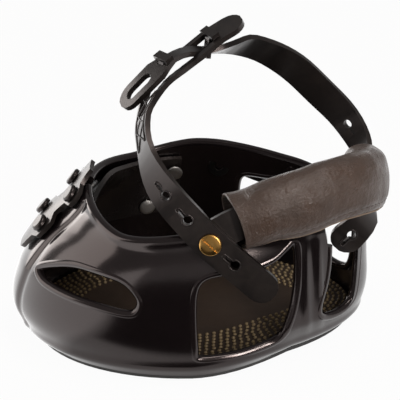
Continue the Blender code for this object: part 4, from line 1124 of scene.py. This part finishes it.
@dataclass
class Underfoot:
    """The tread under the shell, and the footbed with its small moulded pins."""

    form: ShellForm
    repeat: Repeater
    rows: int = 8
    pitch: float = 0.0027
    along_share: float = 1.15
    border: float = 0.0022
    top: float = 0.0109
    stations: int = 720
    # The radius and height of each corner of a pin's profile
    pin_mm: tuple = ((0.75, -0.2), (0.72, 0.5), (0.45, 0.85))
    tread_edge_mm: float = 0.5
    bed_edge_mm: float = 0.4

    def build(self) -> None:
        """Make the tread, the footbed and its pins."""
        rounded_copy("outsole", "lugged_tread", "tread", self.tread_edge_mm, "boot")
        rounded_copy("footbed", "footbed_pad", "footbed", self.bed_edge_mm, "boot")
        spots = []
        for row in range(self.rows):
            inset = self.form.wall + self.border + row * self.pitch
            around = [self.form.point(math.tau * i / self.stations, self.form.floor_top, inset)
                      for i in range(self.stations)]
            travelled = 0.0
            for low, high in zip(around, around[1:] + around[:1]):
                travelled += (high - low).length
                if travelled >= self.pitch * self.along_share:
                    travelled = 0.0
                    spots.append((Vector((high.x, high.y, self.top)), Vector((0, 0, 1)),
                                  (high - low).normalized()))
        pin = small_part("pin", self.pin_mm, sides=7, stretch=1.25)
        # The pins' paler finish is a painted highlight on their tips
        self.repeat.scatter("footbed_pins", spots, pin, "pins", "boot", "footbed")


class StrapLine:
    """A strap's centre line with its outward direction, repeated from the solids."""

    near_x = 0.05666
    pivot_y = 0.012
    pivot_z = 0.0722
    reach = 0.08
    rise = 0.075
    span_steps = 12
    end_gap = 1e-7
    # Each row is a place, as shares of the ring's sizes from the near pivot's, and the outward direction
    near_shares = (
        ((1.055, 0.34, -0.35), (1.0, 0.0, 0.106)), ((1.025, 0.18, -0.19), (1.0, 0.0, 0.106)),
        ((1.0, 0.0, 0.0), (1.0, 0.0, 0.106)), ((0.975, -0.125, 0.16), (1.0, -0.03, 0.11)),
        ((0.935, -0.23, 0.305), (0.96, -0.28, 0.08)), ((0.86, -0.3, 0.43), (0.75, -0.66, 0.05)),
        ((0.745, -0.34, 0.525), (0.4, -0.9, 0.15)), ((0.59, -0.356, 0.595), (0.15, -0.93, 0.33)),
        ((0.43, -0.35, 0.65), (0.05, -0.85, 0.52)), ((0.17, -0.285, 0.745), (0.1, -0.55, 0.8)),
        ((-0.05, -0.17, 0.81), (0.15, -0.3, 0.93)), ((-0.168, -0.069, 0.861), (0.15, -0.25, 0.95)),
        ((-0.285, 0.044, 0.925), (0.17, -0.3, 0.94)), ((-0.36, 0.2, 1.0), (0.2, -0.3, 0.93)),
    )
    far_shares = (
        ((0.21, -0.49, 0.635), (0.3, -0.7, 0.65)), ((0.175, -0.35, 0.775), (0.28, -0.55, 0.78)),
        ((0.07, -0.225, 0.877), (0.25, -0.45, 0.85)), ((-0.045, -0.146, 0.887), (0.2, -0.2, 0.96)),
        ((-0.168, -0.069, 0.861), (0.05, 0.1, 0.97)), ((-0.31, 0.05, 0.83), (-0.65, 0.1, 0.75)),
        ((-0.5, 0.175, 0.79), (-0.88, 0.1, 0.46)), ((-0.6, 0.29, 0.725), (-0.92, 0.1, 0.38)),
        ((-0.68, 0.4, 0.635), (-0.97, 0.08, 0.25)), ((-0.71, 0.51, 0.53), (-1.0, 0.05, 0.1)),
        ((-0.7, 0.635, 0.385), (-1.0, 0.12, 0.02)), ((-0.645, 0.75, 0.262), (-0.95, 0.3, 0.0)),
        ((-0.57, 0.83, 0.15), (-0.85, 0.52, 0.0)), ((-0.43, 0.89, 0.045), (-0.6, 0.8, 0.0)),
        ((-0.22, 0.915, -0.005), (-0.15, 0.98, 0.0)), ((0.0, 0.911, -0.02), (0.0, 1.0, 0.0)),
        ((0.17, 0.91, -0.06), (0.25, 0.95, 0.0)), ((0.3, 0.885, -0.125), (0.7, 0.7, 0.0)),
        ((0.36, 0.79, -0.215), (1.0, 0.1, 0.0)), ((0.345, 0.695, -0.315), (1.0, -0.05, 0.0)),
    )

    def __init__(self, shares: tuple) -> None:
        """Lay the line through the shares of the ring's sizes.

        Args:
            shares: Pairs of a place, in shares of the sizes, and an outward direction.
        """
        points = tuple(self.place(s) for s, _ in shares)
        normals = tuple(Vector(n) for _, n in shares)
        count = (len(points) - 1) * self.span_steps
        self.places = [smooth_value(points, i / count) for i in range(count + 1)]
        self.normals = [smooth_value(normals, i / count).normalized() for i in range(count + 1)]
        self.lengths = [0.0]
        for low, high in zip(self.places, self.places[1:]):
            self.lengths.append(self.lengths[-1] + (high - low).length)

    @classmethod
    def place(cls, shares: tuple[float, float, float]) -> Vector:
        """Turn shares of the ring's sizes into a place."""
        side, back, up = shares
        return Vector((side * cls.near_x, cls.pivot_y + back * cls.reach, cls.pivot_z + up * cls.rise))

    def at(self, distance: float) -> tuple[Vector, Vector, Vector, Vector]:
        """Return place, along, across and outward direction at a distance from the start.

        Args:
            distance: The distance.

        Returns:
            The four vectors.
        """
        target = min(max(distance, 0.0), self.lengths[-1] - self.end_gap)
        index = next(i for i in range(len(self.lengths) - 1) if self.lengths[i + 1] >= target)
        t = (target - self.lengths[index]) / (self.lengths[index + 1] - self.lengths[index])
        low, high = max(index - 1, 0), min(index + 2, len(self.places) - 1)
        along = (self.places[high] - self.places[low]).normalized()
        outward = self.normals[index].lerp(self.normals[index + 1], t)
        outward = (outward - along * outward.dot(along)).normalized()
        return self.places[index].lerp(self.places[index + 1], t), along, outward.cross(along), outward

    def nearest(self, point: Vector) -> float:
        """Return the distance along the line that lies nearest to a point."""
        best = min(range(len(self.places)), key=lambda i: (self.places[i] - point).length)
        return self.lengths[best]

    def outward_at(self, point: Vector) -> Vector:
        """Return the strap's outward direction beside a point.

        Args:
            point: The point.

        Returns:
            The outward direction.
        """
        near = self.nearest(point)
        place, along, _, _ = self.at(near)
        return self.at(near + (point - place).dot(along))[3]


@dataclass
class PasternStraps:
    """The near, far and heel straps and the two hooks, with their moulded relief."""

    repeat: Repeater
    half_thickness: float = 0.00125
    edge_mm: float = 0.45
    pitch: float = 0.0148
    # The near strap's keyholes, in pitches from its pivot
    keyholes: tuple[int, ...] = (-1, 1, 2)
    far_keyhole_share: float = 0.955
    facing_limit: float = 0.93
    lattice: tuple[float, float] = (0.054, 0.083)
    lattice_cell: float = 0.0095
    lattice_step: float = 0.0004
    lattice_half_mm: float = 4.6
    border_half_mm: float = 5.4
    hole_mm: float = 2.55
    slot_half_mm: float = 1.05
    slot_end_mm: float = 6.2
    rim_half_mm: float = 0.42
    rim_height_mm: float = 0.34
    hole_steps: int = 24
    slot_end_steps: int = 6
    rim_sides: int = 8
    # The radius and height of each corner of a lattice stud's profile
    rib_mm: tuple = ((0.42, -0.2), (0.4, 0.2), (0.22, 0.42))

    def build(self) -> None:
        """Make the straps with rounded edges, keyhole rims and the moulded lattice."""
        for node, name in (("near_pastern_strap", "near_strap"), ("far_pastern_strap", "far_strap"),
                           ("heel_strap", "heel_band"), ("closure_hook_front", "front_hook"),
                           ("closure_hook_rear", "rear_hook")):
            rounded_copy(node, name, "strap", self.edge_mm, "ring")
        near, far = StrapLine(StrapLine.near_shares), StrapLine(StrapLine.far_shares)
        for name, line in (("near_strap", near), ("far_strap", far)):
            self.even_normals(bpy.data.objects[name].data, line)
        pivot = near.nearest(StrapLine.place((1.0, 0.0, 0.0)))
        self.keyhole_rims(near, [pivot + k * self.pitch for k in self.keyholes], "near_keyhole_rims")
        self.lattice_ribs(near, pivot)
        self.keyhole_rims(far, [far.lengths[-1] * self.far_keyhole_share], "far_keyhole_rims")

    def even_normals(self, mesh: Mesh, line: StrapLine) -> None:
        """Shade a twisted strap's broad faces by its centre line, so that no facets show at the keyholes.

        Args:
            mesh: The strap's mesh.
            line: Its centre line.
        """
        normals = [Vector(corner.vector) for corner in mesh.corner_normals]
        for polygon in mesh.polygons:
            facing = polygon.normal.dot(line.outward_at(polygon.center))
            if abs(facing) > self.facing_limit:
                for loop in polygon.loop_indices:
                    corner = mesh.vertices[mesh.loops[loop].vertex_index].co
                    normals[loop] = line.outward_at(corner) * math.copysign(1.0, facing)
        mesh.normals_split_custom_set(normals)

    def keyhole_rims(self, line: StrapLine, distances: list[float], name: str) -> None:
        """Raise a thin moulded rim round each keyhole.

        Args:
            line: The strap's centre line.
            distances: The holes' places along it.
            name: The piece's name.
        """
        spots = []
        for distance in distances:
            place, along, _, outward = line.at(distance)
            spots.append((place + outward * self.half_thickness, outward, along))
        self.repeat.scatter(name, spots, self.keyhole_part(), "strap", "ring", "strap")

    def keyhole_part(self) -> Object:
        """Make one rim: a round-topped bead that follows a hole and its short slot.

        Returns:
            The rim, with its hole at the origin and its slot along X.
        """
        hole, half = self.hole_mm, self.slot_half_mm
        first = math.asin(half / hole)
        turns = [first + (math.tau - 2 * first) * step / self.hole_steps
                 for step in range(self.hole_steps + 1)]
        outline = [Vector((hole * math.cos(t), hole * math.sin(t), 0)) for t in turns]
        turns = [-math.pi / 2 + math.pi * step / self.slot_end_steps
                 for step in range(self.slot_end_steps + 1)]
        outline += [Vector((self.slot_end_mm + half * math.cos(t), half * math.sin(t), 0)) for t in turns]
        rings = []
        for i, point in enumerate(outline):
            tangent = (outline[(i + 1) % len(outline)] - outline[i - 1]).normalized()
            out = Vector((tangent.y, -tangent.x, 0))
            rings.append([(point + out * (self.rim_half_mm * math.cos(a))
                           + Vector((0, 0, self.rim_height_mm * math.sin(a)))) * MM
                          for a in (math.tau * k / self.rim_sides for k in range(self.rim_sides))])
        work = lofted(rings + rings[:1], capped=False)
        bmesh.ops.remove_doubles(work, verts=work.verts, dist=0.001 * MM)
        return from_bmesh("keyhole_rim", work, Surfaces.of("strap"))

    def lattice_ribs(self, line: StrapLine, pivot: float) -> None:
        """Raise crossed ribs and their border on the near strap above its keyholes.

        Args:
            line: The strap's centre line.
            pivot: The distance along it of the pivot.
        """
        start, end = self.lattice
        steps = round((end - start) / self.lattice_step)
        spots = []
        for step in range(steps + 1):
            distance = start + (end - start) * step / steps
            place, along, across, outward = line.at(pivot + distance)
            wave = (abs(((distance - start) / self.lattice_cell) % 2 - 1) * 2 - 1) * self.lattice_half_mm
            for offset in (wave, -wave, self.border_half_mm, -self.border_half_mm):
                at = place + across * (offset * MM) + outward * self.half_thickness
                spots.append((at, outward, along))
        rib = small_part("rib", self.rib_mm, sides=6)
        self.repeat.scatter("near_strap_lattice", spots, rib, "strap", "ring", "strap")


@dataclass
class Gaiter:
    """The rolled neoprene sleeve on the heel strap, with its hem, stitches, cut edge and inner pad."""

    repeat: Repeater
    axis_shares: tuple = (
        (0.865, 0.13, 0.088), (0.856, 0.235, 0.112), (0.838, 0.338, 0.143), (0.768, 0.499, 0.163),
        (0.618, 0.668, 0.172), (0.459, 0.793, 0.148), (0.247, 0.868, 0.09), (0.0, 0.885, 0.025),
        (-0.2, 0.87, -0.03),
    )
    # Rows of how close the creases lie along and round the sleeve, the noise's layer and their height in mm
    creases: tuple = ((5.0, 3.2, 4.0, 0.7), (2.2, 9.0, 9.0, 0.42), (16.0, 2.4, 1.5, 0.2))
    depths: tuple[float, float] = (0.0117, 0.0105)
    heights: tuple[float, float] = (0.0123, 0.0149)
    full_share: float = 0.4
    roundness: float = 2.35
    wall: float = 0.0015
    skew: float = 0.004
    skew_length: float = 0.02
    # Where the outer hem lies along the sleeve, and where its inner edge does, in degrees round it
    hem: tuple[float, ...] = (-80.0, -62.0, -48.0, -50.0, -62.0)
    inner: float = 212.0
    girth: float = 0.064
    flat_girth: float = 0.068
    flat_spare: float = 0.02
    end_zone: float = 0.04
    end_share: float = 0.35
    seam_mm: float = -0.35
    seam_half: float = 0.018
    curl_mm: float = 0.5
    curl_half: float = 0.03
    stitch_row: float = 0.075
    stitch_pitch: float = 0.0032
    # How far along and round the sleeve a stitch looks for its directions
    stitch_ahead: float = 0.004
    stitch_aside: float = 0.02
    # The radius and height of each corner of a stitch's profile
    stitch_mm: tuple = ((0.1, -0.22), (0.3, -0.1), (0.34, 0.06), (0.16, 0.22))
    edge_width: float = 0.016
    edge_proud: float = 0.0002
    edge_under: float = 0.00012
    edge_steps: int = 90
    cloth_edge_mm: float = 0.45
    pad_edge_mm: float = 0.9
    along_steps: int = 110
    round_steps: int = 72
    line: StrapLine = field(init=False)

    def __post_init__(self) -> None:
        """Lay the sleeve's middle line."""
        self.line = StrapLine(tuple((s, (0.0, 0.0, 1.0)) for s in self.axis_shares))

    def point(self, share: float, around: float, below: float = 0.0) -> Vector:
        """Return the sleeve's face.

        Args:
            share: Place along the sleeve, from its open near end.
            around: Place round it, from the outer hem to the inner edge.
            below: How far below the outer face.

        Returns:
            The point.
        """
        length = self.line.lengths[-1]
        place, along, _, _ = self.line.at(share * length)
        outward = along.cross(Vector((0, 0, 1))).normalized()
        upward = outward.cross(along)
        hem = smooth_value(self.hem, share)
        turn = math.radians(hem + (self.inner - hem) * around)
        swell = self.crease(share, around) - below
        full = math.sin(min(1.0, share / self.full_share) * math.pi / 2)
        depth = between(self.depths, share) + swell
        height = between(self.heights, full) + swell
        across, rise = (math.copysign(abs(v) ** (2 / self.roundness), v)
                        for v in (math.cos(turn), math.sin(turn)))
        slide = self.skew * max(0.0, 1 - share * length / self.skew_length) * math.cos(turn)
        return place + outward * (across * depth) + upward * (rise * height) + along * slide

    def crease(self, share: float, around: float) -> float:
        """Return the soft rise and fall of the cloth: long creases, a dip by the hem and a curled end.

        Args:
            share: Place along the sleeve.
            around: Place round it.

        Returns:
            The rise in metres.
        """
        soft, long, pull = (noise.noise(Vector((share * along, around * across, layer))) * height_mm
                            for along, across, layer, height_mm in self.creases)
        ends = min(1.0, share / self.end_zone) * min(1.0, (1 - share) / self.end_zone)
        seam = self.seam_mm * hump(around, self.stitch_row, self.seam_half)
        curl = self.curl_mm * hump(share, 0.0, self.curl_half)
        return ((soft + long + pull) * between((self.end_share, 1.0), ends) + seam + curl) * MM

    def build(self) -> None:
        """Make the sleeve, its cut edge and stitches, and the pad inside."""
        sleeve, cut, stitches = self.sleeve(), self.cut_edge(), self.stitches()
        self.pad()

    def sleeve(self) -> Object:
        """Make the sleeve as one thin sheet with a UV map in metres.

        Returns:
            The sleeve.
        """
        work = bmesh.new()
        uv = work.loops.layers.uv.new("cloth")
        last_i, last_j = self.along_steps, self.round_steps
        grids = []
        where = {}
        for depth in (0.0, self.wall):
            grids.append([[work.verts.new(self.point(i / last_i, j / last_j, depth))
                           for j in range(last_j + 1)] for i in range(last_i + 1)])
            for i, row in enumerate(grids[-1]):
                for j, vert in enumerate(row):
                    where[vert] = (i / last_i * self.line.lengths[-1], j / last_j * self.girth)
        outer, inner = grids
        quads = []
        for i in range(last_i):
            for j in range(last_j):
                quads.append((outer[i][j], outer[i][j + 1], outer[i + 1][j + 1], outer[i + 1][j]))
                quads.append((inner[i][j], inner[i + 1][j], inner[i + 1][j + 1], inner[i][j + 1]))
            for j in (0, last_j):
                quads.append((outer[i][j], outer[i + 1][j], inner[i + 1][j], inner[i][j]))
        for j in range(last_j):
            for i in (0, last_i):
                quads.append((outer[i][j], outer[i][j + 1], inner[i][j + 1], inner[i][j]))
        for quad in quads:
            for loop in work.faces.new(quad).loops:
                loop[uv].uv = where[loop.vert]
        obj = from_bmesh("gaiter_sleeve_cloth", work, Surfaces.of("gaiter"), sharp_degrees=60)
        return placed(self.softened(obj, self.cloth_edge_mm, segments=2, degrees=60), "ring", "gaiter",
                      "gaiter_sleeve")

    @staticmethod
    def softened(obj: Object, width_mm: float, segments: int, degrees: float) -> Object:
        """Round the edges of an object that turn by more than an angle, and shade all of it smooth.

        Args:
            obj: The object.
            width_mm: How wide the rounding is.
            segments: Its number of steps.
            degrees: The angle.

        Returns:
            The same object.
        """
        bevel(obj, width_mm, segments, degrees)
        baked(obj).data.shade_smooth()
        return obj

    def cut_edge(self) -> Object:
        """Make the cut edge along the outer hem, its pale colour a painted highlight.

        Returns:
            The edge.
        """
        near, far = -self.edge_proud, self.wall + self.edge_under
        rings = []
        for i in range(self.edge_steps + 1):
            share = i / self.edge_steps
            front = [self.point(share, 0.0, below) for below in (near, far)]
            back = [self.point(share, self.edge_width, below) for below in (far, near)]
            drop = (front[0] - back[1]).normalized() * self.edge_proud
            rings.append([front[0] + drop, front[1] + drop, *back])
        # The cut edge's pale finish is a painted highlight
        obj = from_bmesh("gaiter_cut_edge", lofted(rings), Surfaces.of("cut_edge"))
        return placed(obj, "ring", "gaiter")

    def stitches(self) -> Object:
        """Sew a row of stitches along the hem.

        Returns:
            The row.
        """
        length = self.line.lengths[-1]
        count = round(length / self.stitch_pitch)
        spots = []
        for i in range(1, count):
            share = i / count
            here = self.point(share, self.stitch_row)
            along = (self.point(share + self.stitch_ahead, self.stitch_row) - here).normalized()
            aside = self.point(share, self.stitch_row + self.stitch_aside) - here
            outward = along.cross(aside).normalized()
            if outward.dot(here - self.line.at(share * length)[0]) < 0:
                outward = -outward
            spots.append((here, outward, along))
        stitch = small_part("stitch", self.stitch_mm, sides=6, stretch=3.2)
        return self.repeat.scatter("gaiter_stitches", spots, stitch, "thread", "ring", "gaiter")

    def pad(self) -> Object:
        """Round the foam strip inside the sleeve.

        Returns:
            The pad.
        """
        work = welded(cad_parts["gaiter_pad"].data)
        obj = from_bmesh("gaiter_foam_pad", work, Surfaces.of("foam"), turn_out=False)
        return placed(self.softened(obj, self.pad_edge_mm, segments=3, degrees=50), "ring", "foam",
                      "gaiter_pad")


@dataclass
class Fasteners:
    """The slotted brass screws, barrel nuts, knobs and rivets."""

    near_slot_degrees: float = -46.0
    slot_degrees: float = 12.0
    top_mm: float = 1.7
    tip_mm: float = -5.5
    slot_length_mm: float = 14.0
    slot_mm: float = 1.1
    slot_depth_mm: float = 0.8
    # The radius and height of each corner of the screw's profile but for its two tips
    profile_mm: tuple = (
        (2.6, 1.68), (4.1, 1.52), (4.55, 1.4), (4.9, 1.1), (5.0, 0.7), (5.0, 0.12), (4.9, 0.0), (1.8, 0.0),
        (1.8, -5.3), (1.5, -5.5),
    )
    sides: int = 64
    far_pivot: tuple[float, float, float] = (-0.05908, 0.012, 0.057)
    half_strap: float = 0.00125
    head_gap: float = 0.0003
    nut_edge_mm: float = 0.2
    rivet_edge_mm: float = 0.25
    knob_edge_mm: float = 0.3
    knob_back_edge_mm: float = 0.2

    def build(self) -> None:
        """Turn the screws afresh and give every other fastener its finish."""
        near, far, back = pivot_axis(1), pivot_axis(-1), Vector((0.0, 1.0, 0.0))
        lift = self.half_strap + self.head_gap
        low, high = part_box("strap_screw_heel")
        reach = max(abs((high - low).dot(back)) / 2, MM)
        self.screw("near", near, StrapLine.place((1.0, 0.0, 0.0)) + near * lift, self.near_slot_degrees)
        self.screw("far", far, Vector(self.far_pivot) + far * lift, self.slot_degrees)
        self.screw("heel", back, (low + high) / 2 + back * (reach - self.top_mm * MM), self.slot_degrees)
        for label, body in (("near", "boot"), ("far", "boot"), ("heel", "ring")):
            rounded_copy(f"barrel_nut_{label}", f"turned_barrel_nut_{label}", "blackened",
                         self.nut_edge_mm, body, sharp_degrees=50.0)
        for i in (1, 2, 3):
            rounded_copy(f"tongue_rivet_{i}", f"tongue_rivet_head_{i}", "steel", self.rivet_edge_mm, "boot")
        for place in ("near_lower", "near_upper", "far_lower", "far_upper"):
            rounded_copy(f"front_knob_{place}", f"knob_{place}", "strap", self.knob_edge_mm, "boot")
            rounded_copy(f"knob_rivet_{place}", f"knob_back_{place}", "steel", self.knob_back_edge_mm, "boot")

    def screw(self, label: str, axis: Vector, seat: Vector, degrees: float) -> None:
        """Turn one screw: a domed, chamfered head with a milled slot, on its shank.

        Args:
            label: Which screw.
            axis: The way that its head looks.
            seat: The middle of the underside of its head.
            degrees: How far its slot is turned.
        """
        turn = axis.to_track_quat("Z", "Y").to_matrix().to_4x4()
        turn.translation = seat
        rings = [[p * MM for p in circle(radius, height, self.sides)] for radius, height in self.profile_mm]
        work = lofted(rings, capped=False)
        verts = list(work.verts)
        for row, height in ((verts[:self.sides], self.top_mm), (verts[-self.sides:], self.tip_mm)):
            tip = work.verts.new(Vector((0, 0, height)) * MM)
            for i in range(self.sides):
                work.faces.new((row[i], row[(i + 1) % self.sides], tip))
        work.transform(turn)
        # The rings that the lathe left are centred on this screw
        material = replace(Surfaces.brass, name=f"worn_turned_brass_{label}",
                           centre=tuple(turn.translation)).build()
        obj = from_bmesh(f"slotted_screw_{label}", work, material)
        box = bmesh.new()
        size = Matrix.Diagonal((self.slot_length_mm * MM, self.slot_mm * MM, self.slot_depth_mm * 2 * MM,
                                1.0))
        bmesh.ops.create_cube(box, size=1.0, matrix=Matrix.Translation((0, 0, self.top_mm * MM)) @ size)
        box.transform(turn @ Matrix.Rotation(math.radians(degrees), 4, "Z"))
        combine(obj, [from_bmesh("slot_tool", box, Surfaces.of("brass"))], material, sharp_degrees=30.0)
        placed(obj, f"screw_{label}", "brass", f"strap_screw_{label}")


@dataclass
class FrontClosure:
    """The buttoned strap over the toe's slit and the tongue behind it."""

    strap_edge_mm: float = 0.4
    tongue_edge_mm: float = 0.5

    def build(self) -> None:
        """Round the moulded strap's edges and soften the tongue."""
        rounded_copy("front_strap", "front_button_strap", "strap", self.strap_edge_mm, "boot")
        # The tongue's paler folds are a painted sheen
        rounded_copy("tongue", "soft_tongue", "tongue", self.tongue_edge_mm, "boot")


@dataclass
class Studio:
    """A pale floor, soft lamps and the camera at the photograph's place."""

    azimuth: float = 94.0
    elevation: float = 28.0
    roll: float = -3.5
    distance: float = 0.9
    metres_per_pixel: float = 0.000475
    target: tuple[float, float, float] = (0.0, 0.0, 0.045)
    target_pixel: tuple[float, float] = (192.0, 238.0)
    sensor_mm: float = 36.0
    clip: tuple[float, float] = (0.01, 20.0)
    room_shine: float = 0.12
    room_light: float = 0.15
    floor_white: float = 0.96
    # Real fibres are finer and wouldn't show
    fibre_mm: float = 2.5
    floor_level: float = -0.0002
    floor_half: float = 3.0
    # The way on the floor from the boot's middle to where it glows brightest in reflections, before the toe
    toe_way: tuple[float, float, float] = (-0.5, -1.0, 0.0)
    # Where the floor's painted glow in reflections changes, and to what
    toe_edge: tuple[float, float] = (0.03, 0.06)
    toe_light: float = 1.9
    dark_reflection_from: tuple[float, float] = (0.085, 0.075)
    dark_reflection_to: tuple[float, float] = (0.28, 0.34)
    outer_light: float = 0.5
    lamp_target: tuple[float, float, float] = (0.0, 0.0, 0.05)
    # Each lamp's name, place, width and height, and watts
    lamps: tuple = (
        ("toe_softbox", (0.12, -0.85, 0.33), (0.62, 0.62), 3.0),
        ("far_softbox", (-0.8, -0.9, 0.25), (0.8, 0.5), 6.0),
        ("top_softbox", (0.12, 0.3, 1.0), (0.4, 0.4), 4.8),
        ("heel_strip", (0.62, 0.42, 0.3), (0.05, 0.6), 4.0),
    )

    def build(self) -> None:
        """Set up the world, the floor, the lamps and the camera."""
        scene = bpy.context.scene
        scene.view_settings.view_transform = "Standard"
        self.world(scene)
        self.floor()
        for name, place, size, power in self.lamps:
            self.lamp(name, Vector(place), size, power)
        self.camera(scene)

    @staticmethod
    def rays(tree: NodeTree) -> tuple[NodeSocket, NodeSocket]:
        """Return whether a ray is the camera's, straight or through glass, and whether it is a reflection.

        Args:
            tree: The tree.

        Returns:
            Two sockets: one for the camera's rays and one for reflections.
        """
        path = add_node(tree, "ShaderNodeLightPath").outputs
        seen = add_node(tree, "ShaderNodeMath", {"operation": "MAXIMUM"}, i0=path["Is Camera Ray"],
                        i1=path["Is Transmission Ray"]).outputs[0]
        return seen, path["Is Glossy Ray"]

    def world(self, scene: Scene) -> None:
        """Make the world white to the camera, faint in reflections and fainter as a light.

        Args:
            scene: The scene.
        """
        world = bpy.data.worlds.new("pale_studio")
        scene.world = world
        tree = emptied(world)
        seen, shine = self.rays(tree)
        faint = add_node(tree, "ShaderNodeMath", {"operation": "MULTIPLY"}, i0=shine,
                         i1=self.room_shine).outputs[0]
        both = add_node(tree, "ShaderNodeMath", {"operation": "MAXIMUM"}, i0=seen, i1=faint).outputs[0]
        white = add_node(tree, "ShaderNodeBackground", Color=linear("#ffffff"), Strength=1.0).outputs[0]
        light = add_node(tree, "ShaderNodeBackground", Color=linear("#fbf8f6"),
                         Strength=self.room_light).outputs[0]
        mixed = add_node(tree, "ShaderNodeMixShader", i0=both, i1=light, i2=white).outputs[0]
        add_node(tree, "ShaderNodeOutputWorld", Surface=mixed)

    def floor(self) -> None:
        """Lay the pale floor, which keeps a faint shadow under a white background."""
        work = bmesh.new()
        bmesh.ops.create_grid(work, x_segments=1, y_segments=1, size=self.floor_half,
                              matrix=Matrix.Translation((0, 0, self.floor_level)))
        material = bpy.data.materials.new("white_paper_floor")
        tree = emptied(material)
        seen, shine = self.rays(tree)
        place = add_node(tree, "ShaderNodeTexCoord").outputs["Object"]
        # Painted reflection: to reflections the floor glows white under the boot and on its far side, not at
        # all in a band on its near side, half as bright beyond that band, and brighter before the toe
        ahead = add_node(tree, "ShaderNodeVectorMath", {"operation": "DOT_PRODUCT"}, i0=place,
                         i1=self.toe_way).outputs["Value"]
        aside = add_node(tree, "ShaderNodeSeparateXYZ", Vector=place).outputs["X"]
        toe, beside, beyond = (
            add_node(tree, "ShaderNodeMapRange", Value=value, From_Min=start, From_Max=end,
                     To_Max=strength).outputs[0]
            for value, (start, end), strength in ((ahead, self.toe_edge, self.toe_light),
                                                  (aside, self.dark_reflection_from, 1.0),
                                                  (aside, self.dark_reflection_to, self.outer_light)))
        sides = add_node(tree, "ShaderNodeMath", {"operation": "MAXIMUM"}, i0=beside, i1=beyond).outputs[0]
        painted_reflection = add_node(tree, "ShaderNodeMath", {"operation": "MAXIMUM"}, i0=toe, i1=sides).outputs[0]
        glow = add_node(tree, "ShaderNodeMath", {"operation": "MULTIPLY_ADD"}, i0=shine, i1=painted_reflection,
                        i2=seen).outputs[0]
        straight = add_node(tree, "ShaderNodeMath", {"operation": "MULTIPLY"}, i0=seen,
                            i1=self.floor_white).outputs[0]
        share = add_node(tree, "ShaderNodeMath", {"operation": "MAXIMUM"}, i0=straight, i1=shine).outputs[0]
        fibre = add_node(tree, "ShaderNodeTexNoise", Vector=place,
                         Scale=MM_PER_METRE / self.fibre_mm).outputs[0]
        colour = add_node(tree, "ShaderNodeMix", {"data_type": "RGBA"}, Factor=fibre,
                          i6=linear("#c4c1bf"), i7=linear("#cdcbc9")).outputs[2]
        paper = add_node(tree, "ShaderNodeBsdfDiffuse", Color=colour).outputs[0]
        white = add_node(tree, "ShaderNodeEmission", Color=linear("#ffffff"), Strength=glow).outputs[0]
        mixed = add_node(tree, "ShaderNodeMixShader", i0=share, i1=paper, i2=white).outputs[0]
        add_node(tree, "ShaderNodeOutputMaterial", Surface=mixed)
        from_bmesh("paper_floor", work, material, turn_out=False)

    def lamp(self, name: str, place: Vector, size: tuple[float, float], power: float) -> None:
        """Hang one soft lamp, so wide and so high, that looks at the boot.

        Args:
            name: The lamp's name.
            place: Where it hangs.
            size: Its width and height.
            power: Its power in watts.
        """
        data = bpy.data.lights.new(name, "AREA")
        data.shape = "RECTANGLE"
        data.size, data.size_y = size
        data.energy = power
        data.color = linear("#fffaf6")[:3]
        lamp = bpy.data.objects.new(name, data)
        lamp.location = place
        lamp.rotation_mode = "QUATERNION"
        lamp.rotation_quaternion = (Vector(self.lamp_target) - place).to_track_quat("-Z", "Y")
        bpy.context.scene.collection.objects.link(lamp)

    def camera(self, scene: Scene) -> None:
        """Place the camera by the fitted angles and aim it at the picture's centre.

        Args:
            scene: The scene.
        """
        a, e, r = (math.radians(v) for v in (self.azimuth, self.elevation, self.roll))
        back = Vector((math.sin(a) * math.cos(e), -math.cos(a) * math.cos(e), math.sin(e)))
        level = Vector((math.cos(a), math.sin(a), 0))
        upright = back.cross(level)
        right = level * math.cos(r) + upright * math.sin(r)
        up = upright * math.cos(r) - level * math.sin(r)
        focal = self.distance / self.metres_per_pixel
        centre = PHOTO_PIXELS / 2
        u, v = ((centre - p) / focal for p in self.target_pixel)
        ahead = (-back + right * u - up * v).normalized()
        right = (right - ahead * right.dot(ahead)).normalized()
        up = right.cross(ahead)
        data = bpy.data.cameras.new("photo_camera")
        data.sensor_width = self.sensor_mm
        data.lens = focal / PHOTO_PIXELS * self.sensor_mm
        data.clip_start, data.clip_end = self.clip
        camera = bpy.data.objects.new("photo_camera", data)
        turn = Matrix((right, up, -ahead)).transposed().to_4x4()
        turn.translation = Vector(self.target) + back * self.distance
        camera.matrix_world = turn
        scene.collection.objects.link(camera)
        scene.camera = camera


def main() -> None:
    """Build the studio and every sub-assembly."""
    logging.basicConfig(level=logging.INFO, format="%(name)s: %(message)s")
    Studio().build()
    form = ShellForm()
    repeat = Repeater()
    MouldedShell(form, repeat).build()
    Underfoot(form, repeat).build()
    FrontClosure().build()
    PasternStraps(repeat).build()
    Gaiter(repeat).build()
    Fasteners().build()


if __name__ == "__main__":
    main()
